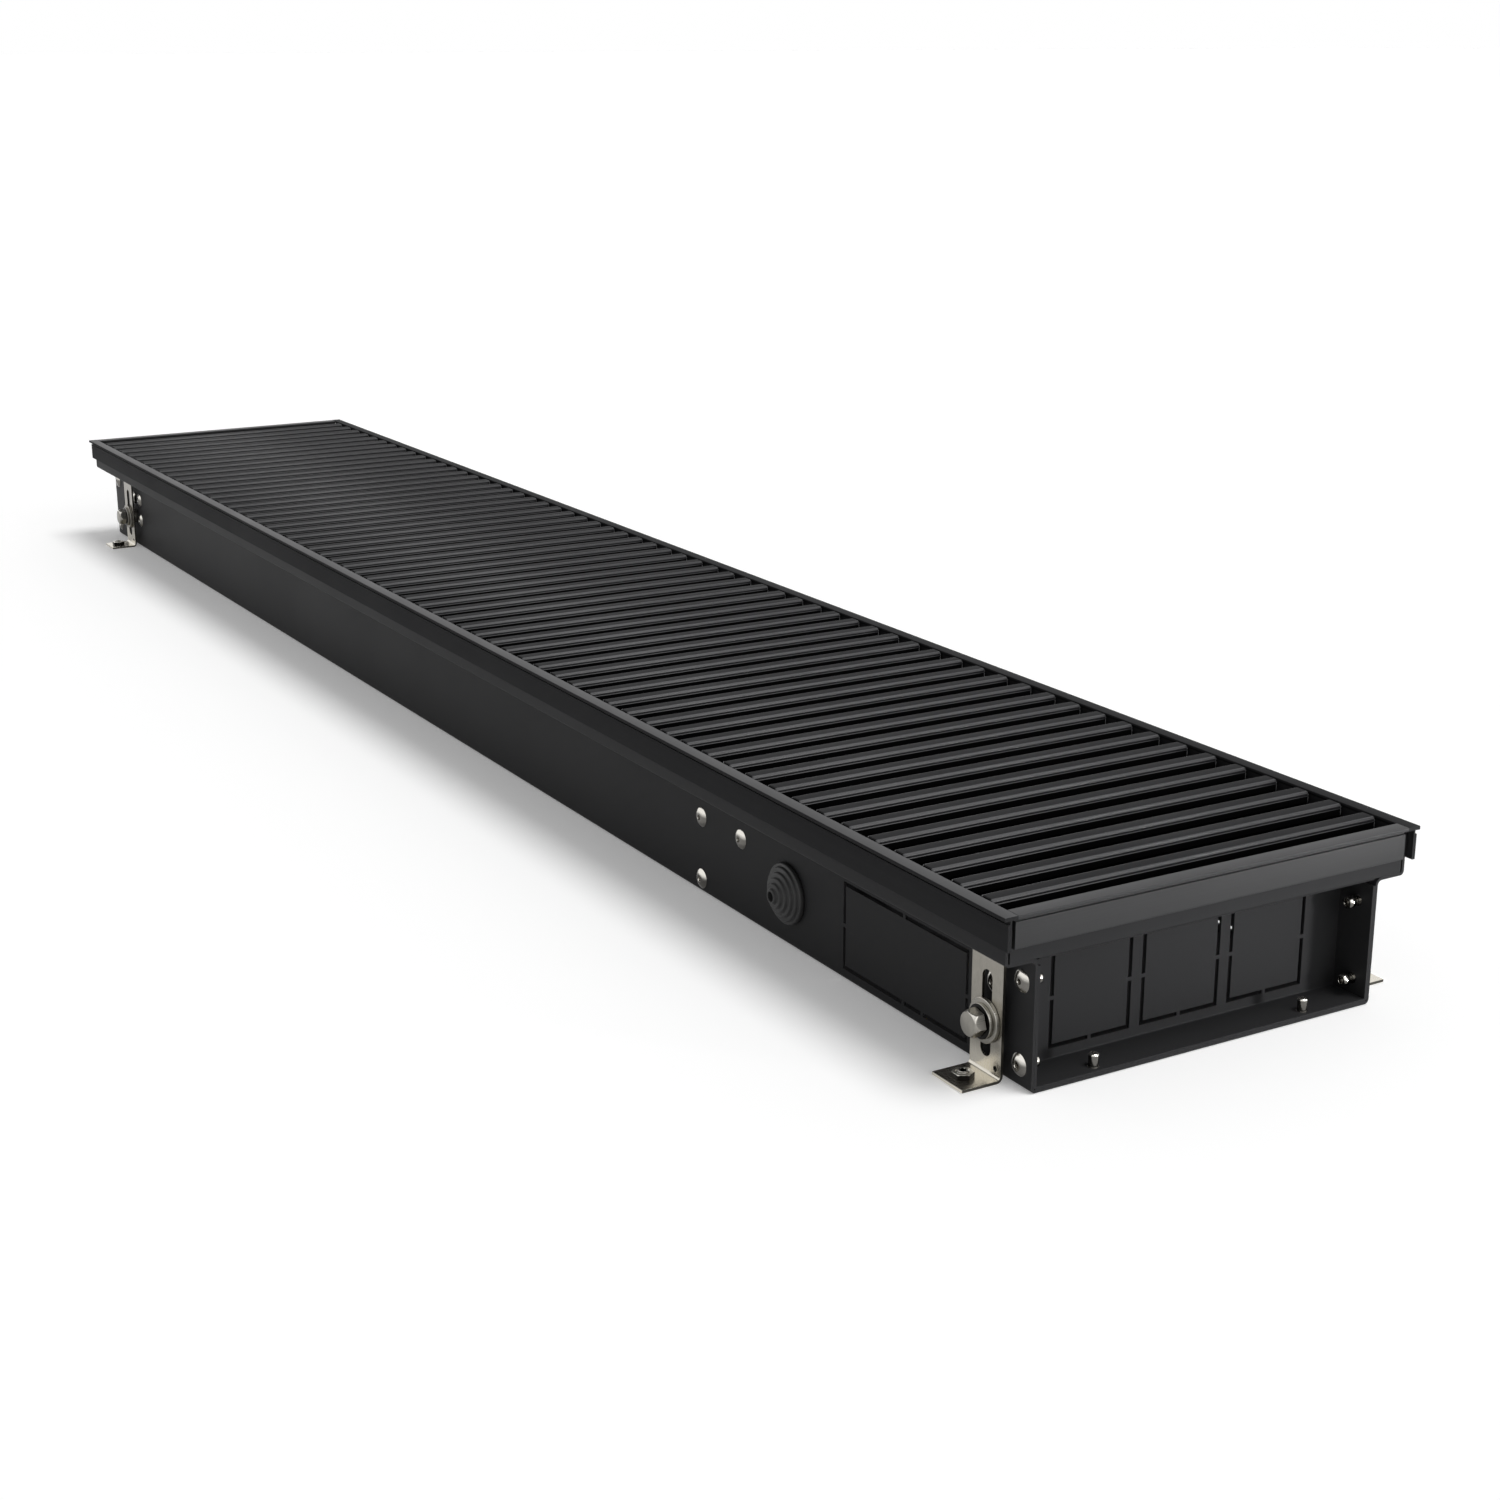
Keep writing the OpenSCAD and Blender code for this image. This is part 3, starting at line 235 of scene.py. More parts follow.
def skin(rings, looped=False):
    """The surface through rings, an array of shape (..., rings, points, 3): quads join each ring to the next.
    A looped surface joins the last ring to the first, and any other gets a cap on its first and last ring."""
    count, around = rings.shape[-3:-1]
    index = np.arange(rings[..., 0].size).reshape(-1, count, around)
    low, high = (index, np.roll(index, -1, 1)) if looped else (index[:, :-1], index[:, 1:])
    quads = np.stack([low, np.roll(low, -1, 2), np.roll(high, -1, 2), high], -1).reshape(-1, 4)
    caps = [] if looped else [index[:, 0, ::-1], index[:, -1]]
    return rings.reshape(-1, 3), [quads, *caps]


def make(name, surfaces, material, body, replaced=(), sharp=32):
    """Joins surfaces into one mesh in its place, with outward faces, smooth up to the sharp angle."""
    starts = np.cumsum([0] + [len(points) for points, _ in surfaces])
    points = np.concatenate([points for points, _ in surfaces])
    faces = [row for start, (_, blocks) in zip(starts, surfaces) for block in blocks
             for row in (block + start).tolist()]
    mesh = bpy.data.meshes.new(name)
    mesh.from_pydata(points.tolist(), [], faces)
    work = bmesh.new()
    work.from_mesh(mesh)
    bmesh.ops.remove_doubles(work, verts=work.verts, dist=0.0005 * mm)
    bmesh.ops.recalc_face_normals(work, faces=work.faces)
    work.to_mesh(mesh)
    work.free()
    mesh.shade_smooth()
    mesh.set_sharp_from_angle(angle=math.radians(sharp))
    mesh.materials.append(material)
    made = bpy.data.objects.new(name, mesh)
    bpy.context.scene.collection.objects.link(made)
    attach(made, body)
    if replaced:
        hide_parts(*replaced)
    return made


def swept(outline, axis, start, end):
    """A closed outline in the plane across an axis, carried straight from start to end. For the axis X it
    holds (y, z), and for Y it holds (x, z)."""
    outline = np.asarray(outline, float)
    rings = np.zeros((2, len(outline), 3))
    across = [i for i in range(3) if i != "XYZ".index(axis)]
    rings[..., across[0]] = outline[:, 0]
    rings[..., across[1]] = outline[:, 1]
    rings[0, :, "XYZ".index(axis)] = start
    rings[1, :, "XYZ".index(axis)] = end
    return skin(rings)


# The sides are a dark satin. The top of the lip is smoother on the room side and at the ends, and is painted
# paler there as a painted sheen of the light from above.
frame_metals = {axis: [drawn_aluminium("black anodised profile along " + axis, axis, "#262627", "#2c2c2d",
                                       0.5, 0.58, 1.08 if axis == "X" else 1.3),
                       drawn_aluminium("lip with painted sheen along " + axis, axis, "#39393a", "#424243",
                                       0.36, 0.44, 1.2)]
                for axis in "XY"}


def second_finish(piece, material, chosen):
    """Gives the faces of a piece another finish where chosen(centres, normals) is true."""
    mesh = piece.data
    mesh.materials.append(material)
    centres = np.empty(len(mesh.polygons) * 3)
    normals = np.empty(len(mesh.polygons) * 3)
    finishes = np.empty(len(mesh.polygons), np.int32)
    mesh.polygons.foreach_get("center", centres)
    mesh.polygons.foreach_get("normal", normals)
    mesh.polygons.foreach_get("material_index", finishes)
    picked = chosen(centres.reshape(-1, 3), normals.reshape(-1, 3))
    mesh.polygons.foreach_set("material_index", np.where(picked, len(mesh.materials) - 1, finishes))


def lip_top(centres, normals):
    """The faces that look straight up, or nearly: these get the painted sheen."""
    return normals[:, 2] > 0.8


lip_thickness = 1.6 * mm
outer_leg = 1.7 * mm
inner_leg = 1.3 * mm
inner_leg_depth = 10 * mm
lip_reach = 1.65 * mm
groove_depth = 0.9 * mm
groove_height = 1.5 * mm
edge_round = 0.35 * mm
for name, side in (("frame_rear", 1), ("frame_front", -1)):
    low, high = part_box(name)
    edge = max(abs(low.y), abs(high.y))
    inside = min(abs(low.y), abs(high.y))
    leg = edge - lip_reach
    under = high.z - lip_thickness
    capped = [(inside, high.z), (edge, high.z), (edge, under), (leg - groove_depth, under),
              (leg - groove_depth, under - groove_height), (leg, under - groove_height), (leg, low.z),
              (leg - outer_leg, low.z), (leg - outer_leg, under), (inside, under)]
    rounding = np.array([1, 1, 1, 0.3, 0.3, 0.6, 1, 1, 0.6, 0.3]) * edge_round
    outline = eased(capped, rounding) * (side, 1)
    leg_top = high.z - lip_thickness / 2
    leg_end = high.z - inner_leg_depth
    near, far = inside, inside + inner_leg
    inner = [(near, leg_top), (far, leg_top), (far, leg_end), (near, leg_end)]
    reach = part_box("rest_strips")[1].x
    profile = make(name + "_profile",
                   [swept(outline, "X", low.x, high.x),
                    swept(eased(inner, 0.3 * mm) * (side, 1), "X", -reach, reach)],
                   frame_metals["X"][0], "casing", [name])
    # The front profile's lip top is painted paler, as a painted sheen.
    if side < 0:
        second_finish(profile, frame_metals["X"][1], lip_top)
for name, side in (("frame_right", 1), ("frame_left", -1)):
    low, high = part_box(name)
    edge = max(abs(low.x), abs(high.x))
    inside = min(abs(low.x), abs(high.x))
    leg = edge - lip_reach
    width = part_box("frame_rear")[0].y - 0.05 * mm
    inset = 0.9 * mm
    under = high.z - lip_thickness
    lip = [(inside, high.z), (edge, high.z), (edge, under), (inside, under)]
    outer = [(leg - outer_leg, under + lip_thickness / 2), (leg - groove_depth, under + lip_thickness / 2),
             (leg - groove_depth, under - groove_height), (leg, under - groove_height), (leg, low.z),
             (leg - outer_leg, low.z)]
    leg_top = high.z - lip_thickness / 2
    leg_end = high.z - inner_leg_depth
    near, far = inside + inset, inside + inset + inner_leg
    inner = [(near, leg_top), (far, leg_top), (far, leg_end), (near, leg_end)]
    profile = make(name + "_profile",
                   [swept(eased(lip, edge_round) * (side, 1), "Y", -width, width),
                    swept(eased(outer, edge_round) * (side, 1), "Y", -width, width),
                    swept(eased(inner, edge_round) * (side, 1), "Y", -width, width)],
                   frame_metals["Y"][0], "casing", [name])
    # The end profiles' lip tops are painted paler, as a painted sheen.
    second_finish(profile, frame_metals["Y"][1], lip_top)


# Grille bars: black anodised aluminium extrusions sawn to length, a plain flat on top with a fluted shoulder
# on each side for grip, a slim web and a foot. Three bars at a time form a hinged section at the end that
# rolls up; the rest stay flat.
# The flats are etched matt. The flutes keep the gloss of the die and catch the light, and are painted a shade
# lighter as a painted highlight. The sides below them are painted dead black as painted shade, and a pale
# band round each end of the head is a painted highlight.
bar_metal = drawn_aluminium("matt black anodised bar", "Y", "#1f1f20", "#252526", 0.5, 0.6, 1.1)
flute_metal_and_painted_highlight = drawn_aluminium("glossy flutes painted lighter as highlight", "Y", "#262628", "#303032", 0.3, 0.38, 1.5)
painted_shade_side_metal = drawn_aluminium("bar sides painted dead black as shade", "Y", "#070707", "#0b0b0c", 0.6, 0.7, 1.03)
painted_highlight_end_metal = drawn_aluminium("bar end bands painted with highlight", "Y", "#6a6a6b", "#7c7c7d", 0.35, 0.45, 1.4)
bar_half_flat = 2.65
bar_half_width = 3.8
bar_pitch = 19.4
flute_depth = 2.25 * mm
shoulder = [(2.65, 0), (2.82, -0.4), (3.02, -0.36), (3.12, -0.14), (3.34, -0.24), (3.48, -0.7), (3.68, -0.76),
            (3.8, -1.02), (3.8, -1.5), (3.56, -1.85), (3.8, -2.2)]
below = [(3.8, -5), (1.8, -6.35), (1.8, -14.85), (3.8, -16.2), (3.8, -18.8)]
half = np.array(shoulder + below)
bar_outline = np.concatenate([half, half[::-1] * (-1, 1)])
bar_rounding = np.array([0.08] * len(shoulder) + [0.5, 0.8, 0.8, 0.3, 0.4])
bar_outline = eased(bar_outline, np.concatenate([bar_rounding, bar_rounding[::-1]]), 4)


def bar_row(first, count, low, high):
    """Bars side by side along X. Each is the outline carried along Y, drawn in a little at its sawn ends."""
    burr = 0.4 * mm
    stations = np.array([low.y, low.y + burr, high.y - burr, high.y])
    inset = np.array([0.96, 1, 1, 0.96])[:, None]
    middle = -9.4
    rings = np.zeros((count, 4, len(bar_outline), 3))
    places = first + np.arange(count) * bar_pitch * mm
    rings[..., 0] = places[:, None, None] + bar_outline[:, 0] * inset * mm
    rings[..., 1] = stations[:, None]
    rings[..., 2] = high.z + (middle + (bar_outline[:, 1] - middle) * inset) * mm
    return skin(rings)


sections = [("main", "grille", 46)] + [(f"roll_{i}", f"grille_roll_{i}", 3) for i in range(1, 6)]
for name, body, count in sections:
    low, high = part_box("grille_bars_" + name)
    first = low.x + bar_half_width * mm
    row = make("bars_" + name, [bar_row(first, count, low, high)], bar_metal,
               body, ["grille_bars_" + name], sharp=40)

    def on_flutes(centres, normals):
        """The faces outside the flat and above the plain side of the head, on any bar, which are painted a
        shade lighter as a painted highlight.
        """
        across = (centres[:, 0] - first + bar_pitch * mm / 2) % (bar_pitch * mm) - bar_pitch * mm / 2
        return (np.abs(across) > bar_half_flat * mm) & (centres[:, 2] > high.z - flute_depth)

    def below_flutes(centres, normals):
        """The plain sides of the head, the web and the foot, which are painted dead black as painted shade.
        """
        return centres[:, 2] < high.z - flute_depth

    def painted_highlight_end_band(centres, normals):
        """The narrow bands round the ends of the head, which are painted pale as a painted highlight."""
        at_end = np.maximum(centres[:, 1] - high.y, low.y - centres[:, 1]) > -0.3 * mm
        return at_end & (np.abs(normals[:, 1]) < 0.5) & (centres[:, 2] > high.z - 5.4 * mm)

    second_finish(row, flute_metal_and_painted_highlight, on_flutes)
    second_finish(row, painted_shade_side_metal, below_flutes)
    second_finish(row, painted_highlight_end_metal, painted_highlight_end_band)

# Spacers and springs: black rubber sleeves keep the bars apart, and a close-wound steel spring runs through
# each row of them. At a hinge the sleeve is cut, and the bare spring, which bends there, is drawn as a short
# straight coil.
black_rubber, rubber = new_material("moulded black rubber")
rubber_place = add(rubber, "ShaderNodeTexCoord").outputs["Object"]
mould_grain = add(rubber, "ShaderNodeTexNoise", None,
                  {"Vector": rubber_place, "Scale": 1 / (0.4 * mm), "Detail": 3.0, "Roughness": 0.65})
handled = add(rubber, "ShaderNodeTexNoise", None, {"Vector": rubber_place, "Scale": 120.0, "Detail": 2.0})
rubber_tone = add(rubber, "ShaderNodeMix", {"data_type": "RGBA"},
                  {0: handled.outputs[0], 6: linear("#171717"), 7: linear("#1f1f1f")})
rubber_gloss = add(rubber, "ShaderNodeMapRange", None,
                   {0: handled.outputs[0], 1: 0.3, 2: 0.7, 3: 0.48, 4: 0.62})
rubber_bump = add(rubber, "ShaderNodeBump", None,
                  {"Strength": 0.25, "Distance": 0.02 * mm, "Height": mould_grain.outputs[0]})
rubber_shader = add(rubber, "ShaderNodeBsdfPrincipled", None,
                    {"Base Color": rubber_tone.outputs[2], "Roughness": rubber_gloss.outputs[0], "IOR": 1.5,
                     "Normal": rubber_bump.outputs[0]})
add(rubber, "ShaderNodeOutputMaterial", None, {"Surface": rubber_shader.outputs[0]})
finish_node("rest_strips", black_rubber)


def bright_steel(name, along, tone, bright, gloss_low, gloss_high, line_spacing, painted_highlight_below=None, painted_highlight_up=None):
    """Bare or zinc plated steel, with the fine lines that rolling or turning leaves along one axis. The first
    optional
    argument is a painted highlight low down: its colour below a height, and the height where it has faded
    out. The second is a painted highlight from the lamps above: the colour of faces that look up, with the
    slopes where it begins and is full."""
    material, tree = new_material(name)
    place = add(tree, "ShaderNodeTexCoord").outputs["Object"]
    stretch = [1 / line_spacing] * 3
    stretch["XYZ".index(along)] = 60.0
    rolled = add(tree, "ShaderNodeMapping", None, {"Vector": place, "Scale": stretch})
    lines = add(tree, "ShaderNodeTexNoise", None,
                {"Vector": rolled.outputs[0], "Scale": 1.0, "Detail": 3.0, "Roughness": 0.6})
    spangle = add(tree, "ShaderNodeTexNoise", None,
                  {"Vector": place, "Scale": 1 / (2.5 * mm), "Detail": 2.0, "Roughness": 0.5})
    shade = add(tree, "ShaderNodeMix", {"data_type": "RGBA"},
                {0: spangle.outputs[0], 6: linear(tone), 7: linear(bright)})
    if painted_highlight_below:
        height = add(tree, "ShaderNodeSeparateXYZ", None, {0: place}).outputs[2]
        fade = add(tree, "ShaderNodeMapRange", {"interpolation_type": "SMOOTHSTEP"},
                   {0: height, 1: painted_highlight_below[1], 2: painted_highlight_below[2], 3: 1.0, 4: 0.0})
        shade = add(tree, "ShaderNodeMix", {"data_type": "RGBA"},
                    {0: fade.outputs[0], 6: shade.outputs[2], 7: linear(painted_highlight_below[0])})
    if painted_highlight_up:
        facing = add(tree, "ShaderNodeTexCoord").outputs["Normal"]
        slope = add(tree, "ShaderNodeSeparateXYZ", None, {0: facing}).outputs[2]
        share = add(tree, "ShaderNodeMapRange", {"interpolation_type": "SMOOTHSTEP"},
                    {0: slope, 1: painted_highlight_up[1], 2: painted_highlight_up[2], 3: 0.0, 4: 1.0})
        shade = add(tree, "ShaderNodeMix", {"data_type": "RGBA"},
                    {0: share.outputs[0], 6: shade.outputs[2], 7: linear(painted_highlight_up[0])})
    gloss = add(tree, "ShaderNodeMapRange", None,
                {0: lines.outputs[0], 1: 0.3, 2: 0.7, 3: gloss_low, 4: gloss_high})
    bump = add(tree, "ShaderNodeBump", None,
               {"Strength": 0.12, "Distance": 0.02 * mm, "Height": lines.outputs[0]})
    shader = add(tree, "ShaderNodeBsdfPrincipled", None,
                 {"Base Color": shade.outputs[2], "Metallic": 1.0, "Roughness": gloss.outputs[0],
                  "Normal": bump.outputs[0]})
    add(tree, "ShaderNodeOutputMaterial", None, {"Surface": shader.outputs[0]})
    return material


spring_steel = bright_steel("spring steel wire", "X", "#77746f", "#8c8984", 0.25, 0.38, 0.2 * mm)


def turned(centre, axis, heights, radii, around=48):
    """Rings about an axis: centre + h a + r (cos t e + sin t f), where e and f lie across the axis a. radii
    holds one radius for each height, or one for each point of each ring."""
    axis = np.asarray(axis, float)
    e = np.roll(np.abs(axis), 1)
    f = np.cross(axis, e)
    t = np.arange(around) * 2 * math.pi / around
    spoke = np.cos(t)[:, None] * e + np.sin(t)[:, None] * f
    radii = np.asarray(radii, float)
    radii = radii[:, None] if radii.ndim == 1 else radii
    heights = np.asarray(heights, float)[:, None, None]
    return np.asarray(centre, float) + heights * axis + np.broadcast_to(
        radii, (len(heights), around))[..., None] * spoke


spring_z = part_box("grille_bars_main")[1].z - 10 * mm
spring_lines = (-60 * mm, 60 * mm)
wire = 0.8
coil_radius = 1.9
coil_pitch = 0.86


def coil(start, end, y):
    """A close-wound spring along X: the wire's centre turns once each pitch, at the coil's radius."""
    turns = (end - start) / (coil_pitch * mm)
    steps = int(turns * 12) + 1
    u = np.linspace(0, turns * 2 * math.pi, steps)
    centre = np.stack([start + u / (2 * math.pi) * coil_pitch * mm,
                       y + coil_radius * mm * np.cos(u), spring_z + coil_radius * mm * np.sin(u)], -1)
    outward = np.stack([0 * u, np.cos(u), np.sin(u)], -1)
    v = np.arange(6) * math.pi / 3
    rings = centre[:, None] + wire / 2 * mm * (np.cos(v)[:, None] * outward[:, None]
                                               + np.sin(v)[:, None] * np.array([1, 0, 0]))
    return skin(rings)


sleeve_radius = 4 * mm
sleeve_bore = 2.4 * mm
web_side = 1.85 * mm
sleeve_break = 1.5 * mm
cap_heights = [0, 0.3 * mm, 1.5 * mm, 1.6 * mm]
cap_radii = [3.4 * mm, 3.95 * mm, 3.95 * mm, 3.8 * mm]
first_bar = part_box("grille_bars_main")[0].x + bar_half_width * mm
bar_number = 0
for name, body, count in sections:
    places = first_bar + (bar_number + np.arange(count)) * bar_pitch * mm
    half_pitch = bar_pitch / 2 * mm
    spans = [(a + web_side, b - web_side) for a, b in zip(places[:-1], places[1:])]
    if name != "main":
        spans.insert(0, (places[0] - half_pitch + sleeve_break, places[0] - web_side))
    if name != "roll_5":
        spans.append((places[-1] + web_side, places[-1] + half_pitch - sleeve_break))
    outer_edge, inner_edge = 0.5 * mm, 0.2 * mm
    sleeves = []
    for start, end in spans:
        loop = eased([(0, sleeve_bore), (0, sleeve_radius), (end - start, sleeve_radius),
                      (end - start, sleeve_bore)], [inner_edge, outer_edge, outer_edge, inner_edge], 3)
        sleeves += [skin(turned((start, y, spring_z), (1, 0, 0), loop[:, 0], loop[:, 1], 24), True)
                    for y in spring_lines]
    make("sleeves_" + name, sleeves, black_rubber, body, ["grille_sleeves_" + name])
    bare = sleeve_break + 2 * mm
    coils = []
    if name != "main":
        coils += [coil(places[0] - half_pitch + 0.3 * mm, places[0] - half_pitch + bare, y)
                  for y in spring_lines]
    if name != "roll_5":
        coils += [coil(places[-1] + half_pitch - bare, places[-1] + half_pitch - 0.3 * mm, y)
                  for y in spring_lines]
    core = 1.5 * mm
    low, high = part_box("grille_springs_" + name)
    core_ends = [low.x + 0.4 * mm, high.x - 0.4 * mm]
    cores = [skin(turned((0, y, spring_z), (1, 0, 0), core_ends, [core, core], 12)) for y in spring_lines]
    caps = [skin(turned((x, y, spring_z), (way, 0, 0), cap_heights, cap_radii, 24))
            for end, x, way in (("main", low.x, 1), ("roll_5", high.x, -1)) if name == end
            for y in spring_lines]
    make("springs_" + name, coils + cores + caps, spring_steel, body,
         ["grille_springs_" + name])
    bar_number += count

# Heat exchanger: two copper water tubes joined by a return bend at the far end, through a pack of thin
# aluminium fins with pressed waves, all coated black so that nothing shines through the grille.
exchanger_coat, dip = new_material("black exchanger coating")
dip_place = add(dip, "ShaderNodeTexCoord").outputs["Object"]
runs = add(dip, "ShaderNodeTexNoise", None,
           {"Vector": dip_place, "Scale": 1 / (6 * mm), "Detail": 3.0, "Roughness": 0.6})
dip_tone = add(dip, "ShaderNodeMix", {"data_type": "RGBA"},
               {0: runs.outputs[0], 6: linear("#1a1a1b"), 7: linear("#232324")})
dip_gloss = add(dip, "ShaderNodeMapRange", None, {0: runs.outputs[0], 1: 0.3, 2: 0.7, 3: 0.5, 4: 0.66})
dip_bump = add(dip, "ShaderNodeBump", None,
               {"Strength": 0.2, "Distance": 0.05 * mm, "Height": runs.outputs[0]})
dip_shader = add(dip, "ShaderNodeBsdfPrincipled", None,
                 {"Base Color": dip_tone.outputs[2], "Roughness": dip_gloss.outputs[0], "IOR": 1.5,
                  "Normal": dip_bump.outputs[0]})
add(dip, "ShaderNodeOutputMaterial", None, {"Surface": dip_shader.outputs[0]})
tube_radius = 7.5 * mm
tube_wall = 0.8 * mm
tube_line = 27.5 * mm
tube_z = 28 * mm
low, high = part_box("exchanger_tubes")
tubes = []
for y in (-tube_line, tube_line):
    bore = tube_radius - tube_wall
    loop = eased([(low.x, bore), (low.x, tube_radius), (high.x, tube_radius), (high.x, bore)], 0.2 * mm, 3)
    tubes.append(skin(turned((0, y, tube_z), (1, 0, 0), loop[:, 0], loop[:, 1], 40), True))
make("water_tubes", tubes, exchanger_coat, "casing", ["exchanger_tubes"])

bend_steps = 33
u = np.linspace(math.pi / 2, 3 * math.pi / 2, bend_steps)
v = np.arange(32) * 2 * math.pi / 32
outward = np.stack([np.cos(u), np.sin(u), 0 * u], -1)
spokes = np.cos(v)[:, None] * outward[:, None] + np.sin(v)[:, None] * np.array([0, 0, 1])
bend_rings = (np.array([low.x - 0.05 * mm, 0, tube_z]) + tube_line * outward[:, None]
              + tube_radius * spokes)
make("return_bend", [skin(bend_rings)], exchanger_coat, "casing",
     ["exchanger_return_bend"])

fin_low, fin_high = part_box("exchanger_fins")
fin_thickness = 0.4 * mm
fin_pitch = 5 * mm
fin_count = 1 + round((fin_high.x - fin_low.x - fin_thickness) / fin_pitch)
wave_length = 11 * mm
across = np.linspace(fin_low.y, fin_high.y, 41)
wave = 0.3 * mm * np.sin(across * 2 * math.pi / wave_length)
front = np.stack([wave, across], -1)
fin_outline = np.concatenate([front + (0.02 * mm, 0), front[::-1] + (0.3 * mm, 0)])
fin_rings = np.zeros((fin_count, 2, len(fin_outline), 3))
fin_rings[..., 0] = (fin_low.x + np.arange(fin_count) * fin_pitch)[:, None, None] + fin_outline[:, 0]
fin_rings[..., 1] = fin_outline[:, 1]
fin_rings[:, 0, :, 2] = fin_low.z
fin_rings[:, 1, :, 2] = fin_high.z
make("wavy_fins", [skin(fin_rings)], exchanger_coat, "casing", ["exchanger_fins"])

# Water connections and air vent: turned brass sockets with a G 1/2 thread on the ends of the tubes, and a
# small vent on the front tube whose slotted screw lets the air out.
turned_brass, brass = new_material("turned brass")
brass_place = add(brass, "ShaderNodeTexCoord").outputs["Object"]
tarnish = add(brass, "ShaderNodeTexNoise", None,
              {"Vector": brass_place, "Scale": 1 / (4 * mm), "Detail": 3.0, "Roughness": 0.6})
tool_spacing = 0.15 * mm
tool_lines = add(brass, "ShaderNodeMapping", None,
                 {"Vector": brass_place, "Scale": (1 / tool_spacing, 30, 30)})
tool_marks = add(brass, "ShaderNodeTexNoise", None, {"Vector": tool_lines.outputs[0], "Scale": 1.0})
brass_tone = add(brass, "ShaderNodeMix", {"data_type": "RGBA"},
                 {0: tarnish.outputs[0], 6: linear("#a8843f"), 7: linear("#c9a55c")})
brass_gloss = add(brass, "ShaderNodeMapRange", None,
                  {0: tarnish.outputs[0], 1: 0.3, 2: 0.7, 3: 0.4, 4: 0.5})
brass_bump = add(brass, "ShaderNodeBump", None,
                 {"Strength": 0.15, "Distance": 0.02 * mm, "Height": tool_marks.outputs[0]})
brass_shader = add(brass, "ShaderNodeBsdfPrincipled", None,
                   {"Base Color": brass_tone.outputs[2], "Metallic": 1.0,
                    "Roughness": brass_gloss.outputs[0], "Normal": brass_bump.outputs[0]})
add(brass, "ShaderNodeOutputMaterial", None, {"Surface": brass_shader.outputs[0]})


def hexagon_radius(flats, around):
    """The distance to a hexagon's side at each of the points around: half the flats over cos(t), with t
    measured from the middle of the nearest side."""
    t = np.arange(around) * 2 * math.pi / around
    return flats / 2 / np.cos((t % (math.pi / 3)) - math.pi / 6)


def threaded(start, end, radius, depth, pitch, around=48, steps=8, taper=0.0):
    """Heights and radii of a screw thread: radius plus depth times a triangle wave of h/pitch + t/2pi, which
    fades to nothing over the taper at both ends."""
    rows = max(2, int((end - start) / pitch * steps) + 1)
    heights = np.linspace(start, end, rows)
    t = np.arange(around) / around
    phase = (heights[:, None] / pitch + t) % 1
    ridge = 1 - 2 * np.abs(phase - 0.5)
    fade = np.clip(np.minimum(heights - start, end - heights) / max(taper, 1e-9), 0, 1)[:, None]
    return heights, radius + depth * (ridge * fade)


low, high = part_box("water_sockets")
socket_length = high.x - low.x
socket_bore = 9.5 * mm
socket_depth = 15 * mm
hex_half = socket_length / 2
around = 72
sockets = []
for y in (-tube_line, tube_line):
    six = hexagon_radius(27 * mm, around)
    barrel = 13.5 * mm
    chamfer = 0.8 * mm
    outside_heights = [0, chamfer, hex_half - chamfer, hex_half, hex_half + 0.01 * mm,
                       socket_length - chamfer, socket_length]
    outside = [np.minimum(six, barrel), six, six, np.minimum(six, barrel + 0.3 * mm), six * 0 + barrel,
               six * 0 + barrel, six * 0 + barrel - chamfer]
    thread_heights, thread_radii = threaded(socket_length - socket_depth, socket_length - 0.4 * mm,
                                            socket_bore, 0.55 * mm, 1.81 * mm, around, 8, 1.2 * mm)
    inside_heights = [socket_length, *thread_heights[::-1], socket_length - socket_depth - 0.01 * mm,
                      7.8 * mm, 7.79 * mm, 0]
    inside = [six * 0 + 10.3 * mm, *thread_radii[::-1], six * 0 + 6.7 * mm, six * 0 + 6.7 * mm,
              six * 0 + 7.55 * mm, six * 0 + 7.55 * mm]
    sockets.append(skin(turned((low.x, y, tube_z), (1, 0, 0), np.array(outside_heights + inside_heights),
                               np.array(outside + inside), around), True))
make("threaded_sockets", sockets, turned_brass, "casing", ["water_sockets"])
finish_node("vent_body", turned_brass)
finish_node("vent_screw", turned_brass)

# Cable grommet: moulded black rubber pushed into a hole in the front wall. Its nose narrows in round steps,
# and is cut back to the step that fits the cable.
wall = 86 * mm
low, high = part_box("cable_grommet")
grommet_centre = ((low.x + high.x) / 2, -wall, (low.z + high.z) / 2)
flange = (high.x - low.x) / 2
nose = -wall - low.y
steps_count = 5
base = 2.4 * mm
step = (nose - base) / steps_count
tip_radius = 3.6 * mm
fall = (12.35 * mm - tip_radius) / (steps_count - 1)
profile = [(0.05 * mm, 0.4 * mm), (0.05 * mm, flange), (base, flange - 0.35 * mm)]
for k in range(steps_count):
    radius = tip_radius + (steps_count - 1 - k) * fall
    profile += [(base + k * step, radius), (base + (k + 1) * step, radius - fall * 0.2)]
bore = 2.2 * mm
profile += [(nose, bore), (nose - 2.7 * mm, bore), (nose - 2.7 * mm, 0.4 * mm)]
rounding = np.array([0.1] + [0.9, 0.8] + [0.3, 0.55] * steps_count + [0.3, 0.1, 0.1]) * mm
rounding[0] = rounding[-1] = 0
closed = eased([(h, r) for h, r in profile], rounding, 6)
make("stepped_grommet",
     [skin(turned(grommet_centre, (0, -1, 0), closed[:, 0], closed[:, 1], 72), True),
      skin(turned(grommet_centre, (0, -1, 0), np.array([-3.65, -3.4, -1.6, -1.3, -1.25, 0.06]) * mm,
                  np.array([12.2, 12.6, 12.6, 12.3, 10.9, 10.9]) * mm, 72))],
     black_rubber, "casing", ["cable_grommet"], sharp=50)
